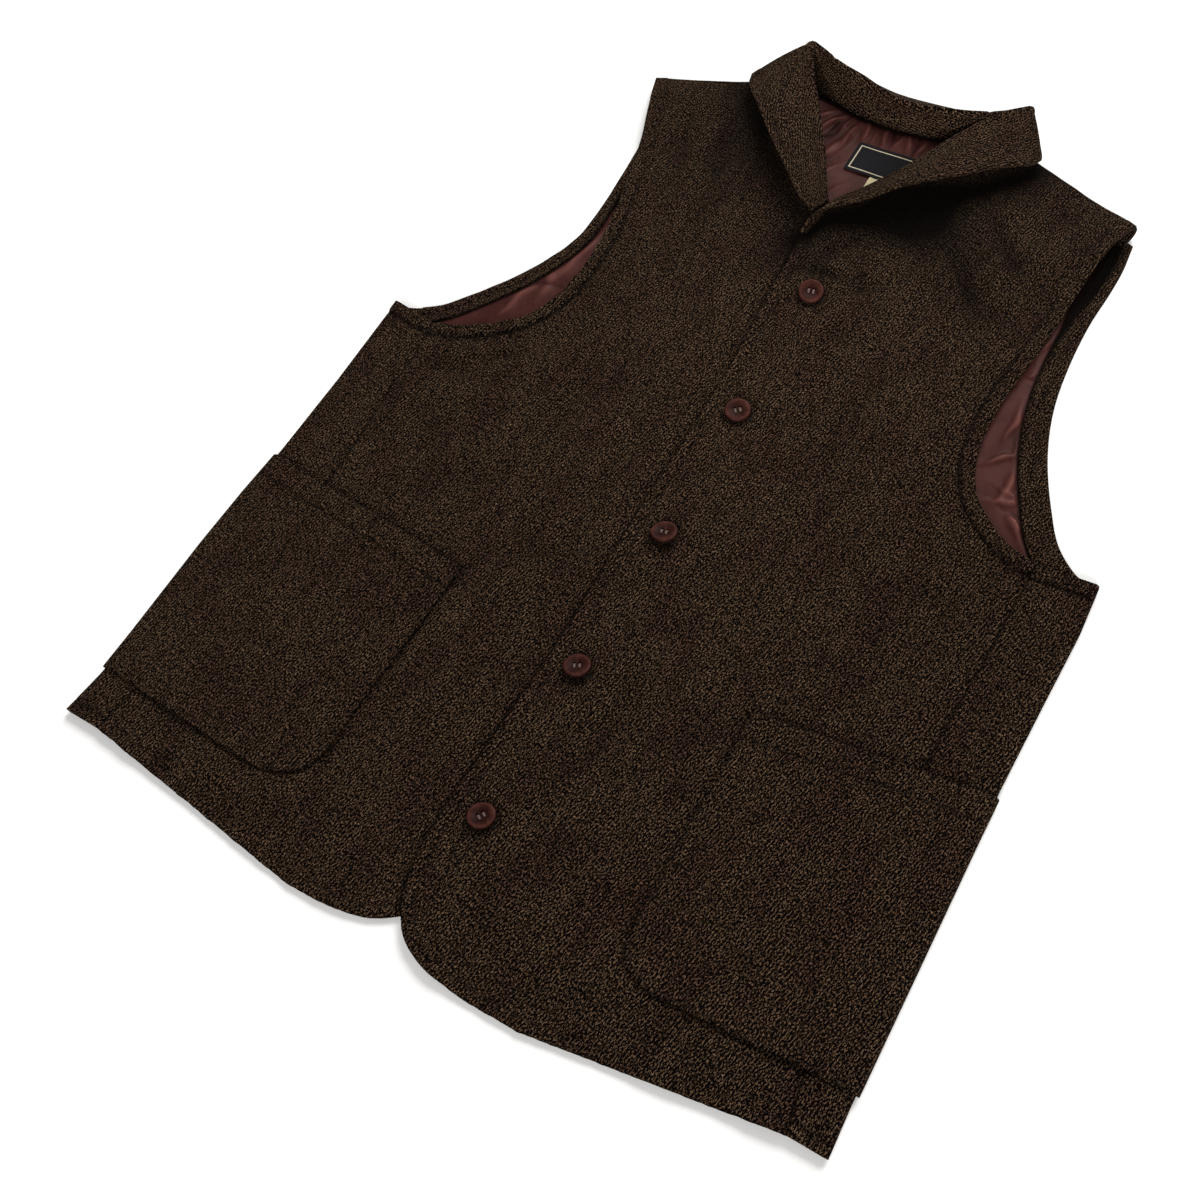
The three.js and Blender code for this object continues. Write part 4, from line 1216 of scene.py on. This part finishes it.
def tweed_finish(name, cut_edge=False):
    tweed = Finish(
        name, 0.95, cut_edge, Specular_IOR_Level=0.03, Sheen_Weight=0.012, Sheen_Roughness=0.5,
        Sheen_Tint=(0.7, 0.5, 0.35, 1))

    def slubs(stretch, scale, roughness, low, high):
        """Short lengths of yarn along the twill, where the noise is between low and high."""
        along_strand = tweed.grain(-TWILL_DEGREES, (stretch, 1.0))
        return tweed.noise(along_strand, scale, 1, roughness).between(low, high)

    along_wale = tweed.grain(-TWILL_DEGREES)
    lengthwise = tweed.grain()
    if cut_edge:
        wale = tweed.noise(lengthwise, 0.6, 2).between(0.4, 0.6)
        floats = tweed.noise(lengthwise, 0.9, 1).between(0.4, 0.6)
    else:
        waver = tweed.noise(lengthwise, 0.35, 2) * 0.9
        wale = (tweed.axis(along_wale, "Y") / TWILL_PITCH + waver).wave()
        floats = (tweed.axis(along_wale, "X") / 1.3 + tweed.noise(lengthwise, 0.9, 1) * 2.2).wave()
    yarns = slubs(0.36, 1.68, 0.6, 0.36, 0.64)
    flecks = slubs(0.42, 1.55, 0.5, 0.53, 0.62)
    pepper = slubs(0.5, 1.65, 0.5, 0.50, 0.61)
    streaks = tweed.noise(tweed.grain(0, (0.26, 0.03)), 1.0, 3, 0.6).between(0.36, 0.66)
    mottle = tweed.noise(tweed.grain(0, (0.036, 0.02)), 1.0, 3, 0.6)
    salt = wale * 0.46 + yarns * 0.44 + floats * 0.12 + flecks * 0.82
    salt = salt - pepper * 0.62 + streaks * 0.05 - 0.21
    colour = tweed.ramp(
        salt, (0.20, (0.0005, 0.0002, 0.0002)), (0.50, (0.0030, 0.00115, 0.0008)),
        (1.0, (0.118, 0.0735, 0.0425)))
    ruddy = tweed.blend(mottle.between(0.44, 0.62) * 0.75, colour, (0.79, 0.67, 0.77), "MULTIPLY")
    tone = tweed.blend(1, ruddy, tweed.blend(streaks, (0.86, 0.85, 0.84), (1.12, 1.12, 1.12)), "MULTIPLY")
    # Painted shade from the cloth's seam attribute: in seams, creases, stitch lines and under the collar
    # and other parts
    painted_shade = tweed.attribute("seam") * 0.97
    tweed.set(Base_Color=tweed.blend(painted_shade, tone, (0.0004, 0.0002, 0.0002)))
    tweed.relief(wale * 0.5 + yarns * 0.4 + flecks * 0.3 - pepper * 0.25, 0.0003, 1.0)
    return tweed.material


def satin_finish():
    satin = Finish("satin", 0.4, Specular_IOR_Level=0.045, Specular_Tint=(1.0, 0.62, 0.55, 1))
    threads = satin.grain(0, (1.0, 0.12))
    fine = satin.noise(threads, 1.6, 2, 0.6)
    cloudy = satin.noise(satin.grain(), 0.05, 3, 0.55)
    colour = satin.blend(cloudy.between(0.35, 0.65), (0.027, 0.0082, 0.0070), (0.043, 0.0137, 0.0118))
    colour = satin.blend(fine.between(0.35, 0.65) * 0.3, colour, (0.056, 0.0190, 0.0168))
    # Painted shade where the seam attribute is above 0, and a painted highlight on the folds' crests where
    # it is below 0
    seam = satin.attribute("seam")
    colour = satin.blend(seam, colour, (0.002, 0.0008, 0.0007))
    colour = satin.blend(seam * -1.0, colour, (0.17, 0.064, 0.054))
    satin.set(Base_Color=colour, Roughness=fine * 0.14 + 0.33 + seam.between(0.4, 1.0) * 0.5)
    satin.relief(fine + cloudy * 1.5, 0.00006, 0.7)
    return satin.material


def horn_finish():
    horn = Finish("button horn", 0.4, Specular_IOR_Level=0.035)
    place = horn.place()
    cloud = horn.noise(place, 160, 4, 0.6)
    flow = horn.noise(place, 420, 3, 0.55)
    colour = horn.ramp(
        cloud * 0.75 + flow * 0.3, (0.34, (0.014, 0.0040, 0.0030)), (0.52, (0.027, 0.0078, 0.0058)),
        (0.70, (0.055, 0.0185, 0.0132)))
    painted_light = horn.attribute("painted_light")
    # Painted shade in the dish and round it, and a painted highlight on the rim
    colour = horn.blend(painted_light, colour, (0.0045, 0.0013, 0.0011))
    colour = horn.blend(painted_light * -1.0, colour, (0.085, 0.030, 0.022))
    horn.set(Base_Color=colour, Roughness=flow * 0.2 + 0.36)
    horn.relief(flow, 0.00005, 0.5)
    return horn.material


def thread_finish(name, shade, tint):
    thread = Finish(name, 0.8, Specular_IOR_Level=0.1)
    twist = thread.noise(thread.place(), 2600, 2, 0.5)
    thread.set(Base_Color=thread.blend(twist.between(0.3, 0.7), shade, tint))
    thread.relief(twist, 0.00004, 0.6)
    return thread.material


LABEL_WIDTH = 50
LABEL_HEIGHT = 28.5


def label_finish():
    tape = Finish("black label", 0.8, Specular_IOR_Level=0.03)
    flat = tape.grain()
    x, y = tape.axis(flat, "X"), tape.axis(flat, "Y")
    from_side = LABEL_WIDTH / 2 - (x - LABEL_WIDTH / 2).size()
    from_end = LABEL_HEIGHT / 2 - (y - LABEL_HEIGHT / 2).size()
    inset = from_side.math("MINIMUM", from_side, from_end)
    border = inset.between(2.4, 2.7) * (1 - inset.between(3.2, 3.5))
    weave = (x / 0.5).wave() * (y / 0.5).wave()
    black = tape.blend(weave, (0.006, 0.006, 0.007), (0.016, 0.016, 0.018))
    cream = tape.blend(weave, (0.34, 0.29, 0.2), (0.55, 0.5, 0.38))
    tape.set(Base_Color=tape.blend(border, black, cream))
    tape.relief(weave + border * 0.8, 0.0001, 0.6)
    return tape.material


def tab_finish():
    tape = Finish("cream tape", 0.8, Specular_IOR_Level=0.1)
    flat = tape.grain()
    weave = (tape.axis(flat, "X") / 0.7).wave() * (tape.axis(flat, "Y") / 0.7).wave()
    soil = tape.noise(flat, 0.2, 3)
    cream = tape.blend(weave, (0.36, 0.31, 0.18), (0.54, 0.48, 0.31))
    tape.set(Base_Color=tape.blend(soil.between(0.5, 0.8) * 0.4, cream, (0.3, 0.24, 0.16)))
    tape.relief(weave, 0.0001, 0.5)
    return tape.material


def floor_finish():
    paper = Finish("pale floor", 0.85, Specular_IOR_Level=0.15)
    tone = paper.noise(paper.place(), 3, 2)
    paper.set(Base_Color=paper.blend(tone, (0.86, 0.86, 0.86), (0.9, 0.9, 0.9)))
    return paper.material


def dress(piece, *materials):
    piece.data.materials.clear()
    for material in materials:
        piece.data.materials.append(material)


tweed = tweed_finish("tweed")
tweed_edge = tweed_finish("tweed edge", cut_edge=True)
satin = satin_finish()
horn = horn_finish()
button_thread = thread_finish("button thread", (0.07, 0.047, 0.042), (0.17, 0.118, 0.102))
tweed_pieces = (
    front_right, front_left, back_cloth, facing_right, facing_left, pocket_right, pocket_left, collar_cloth)
for piece in tweed_pieces:
    dress(piece, tweed, tweed_edge)
dress(lining_cloth, satin)
for piece, name, shade, tint in (
        (stitches, "edge thread", (0.004, 0.0022, 0.0014), (0.014, 0.008, 0.005)),
        (buttonhole_welts, "buttonhole thread", (0.0018, 0.0009, 0.0006), (0.008, 0.0042, 0.0027)),
        # Near-black, a painted shadow in the buttonhole's opening
        (buttonhole_slit_shadows, "buttonhole slit", (0.0004, 0.0002, 0.0002), (0.0008, 0.0004, 0.0004))):
    dress(piece, thread_finish(name, shade, tint))
dress(label, label_finish())
dress(size_tab, tab_finish())
for disc, sewing in buttons:
    dress(disc, horn)
    dress(sewing, button_thread)

# What stands for the solids
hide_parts("back")
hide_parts("lining")
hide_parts("facing_right")
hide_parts("facing_left")
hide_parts("front_right")
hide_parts("front_left")
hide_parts("pocket_right")
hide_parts("pocket_left")
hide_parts("collar")
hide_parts("label")
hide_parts("size_tab")
for number, (disc, _) in enumerate(buttons, 1):
    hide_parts(f"button_{number}")


# Camera at the photograph's angle, floor and soft light

# The fitted focal length and the photograph's width, in pixels
FOCAL_PIXELS = 1336.9007649
PHOTO_PIXELS = 1200
SENSOR_WIDTH = 36


def camera():
    data = bpy.data.cameras.new("camera")
    data.sensor_width = SENSOR_WIDTH
    data.lens = FOCAL_PIXELS / PHOTO_PIXELS * SENSOR_WIDTH
    viewer = linked("camera", data)
    right = Vector((0.8565212, 0.5035841, -0.1130238))
    up = Vector((-0.4046420, 0.7911651, 0.4586094))
    back_way = Vector((0.3203689, -0.3470746, 0.8814210))
    turn = Matrix((right, up, back_way)).transposed().to_4x4()
    viewer.matrix_world = Matrix.Translation((0.264558, -0.401239, 0.735913)) @ turn
    bpy.context.scene.camera = viewer


def lamp(name, place, aim, size, power, cone=None):
    """A broad soft lamp, or with a cone in degrees a soft-edged spot."""
    data = bpy.data.lights.new(name, "AREA" if cone is None else "SPOT")
    if cone is None:
        data.shape = "RECTANGLE"
        data.size, data.size_y = size
    else:
        data.spot_size = math.radians(cone)
        data.spot_blend = 1
        data.shadow_soft_size = size
    data.energy = power
    data.color = (1.0, 0.985, 0.96)
    light = linked(name, data)
    light.location = place
    light.rotation_euler = (Vector(aim) - Vector(place)).to_track_quat("-Z", "Y").to_euler()


FLOOR_DROP = 0.0002


def studio():
    mesh = bmesh.new()
    bmesh.ops.create_grid(
        mesh, x_segments=1, y_segments=1, size=4, matrix=Matrix.Translation((0, 0, -FLOOR_DROP)))
    floor = new_object("floor", mesh)
    dress(floor, floor_finish())
    world = bpy.data.worlds.new("studio")
    world.use_nodes = True
    background = world.node_tree.nodes["Background"]
    background.inputs["Color"].default_value = (1, 1, 1, 1)
    background.inputs["Strength"].default_value = 0.29
    bpy.context.scene.world = world
    lamp("window light", (0.1, 2.75, 2.5), (0, 0, 0), (2.4, 2.2), 172)
    lamp("room light", (0.7, -2.5, 1.75), (0, 0, 0), (2.0, 1.6), 68)
    lamp("neck light", (0.1, -2.05, 0.88), (0.01, 0.325, 0.018), 0.12, 270, 7.5)
    bpy.context.scene.view_settings.view_transform = "Standard"


camera()
studio()
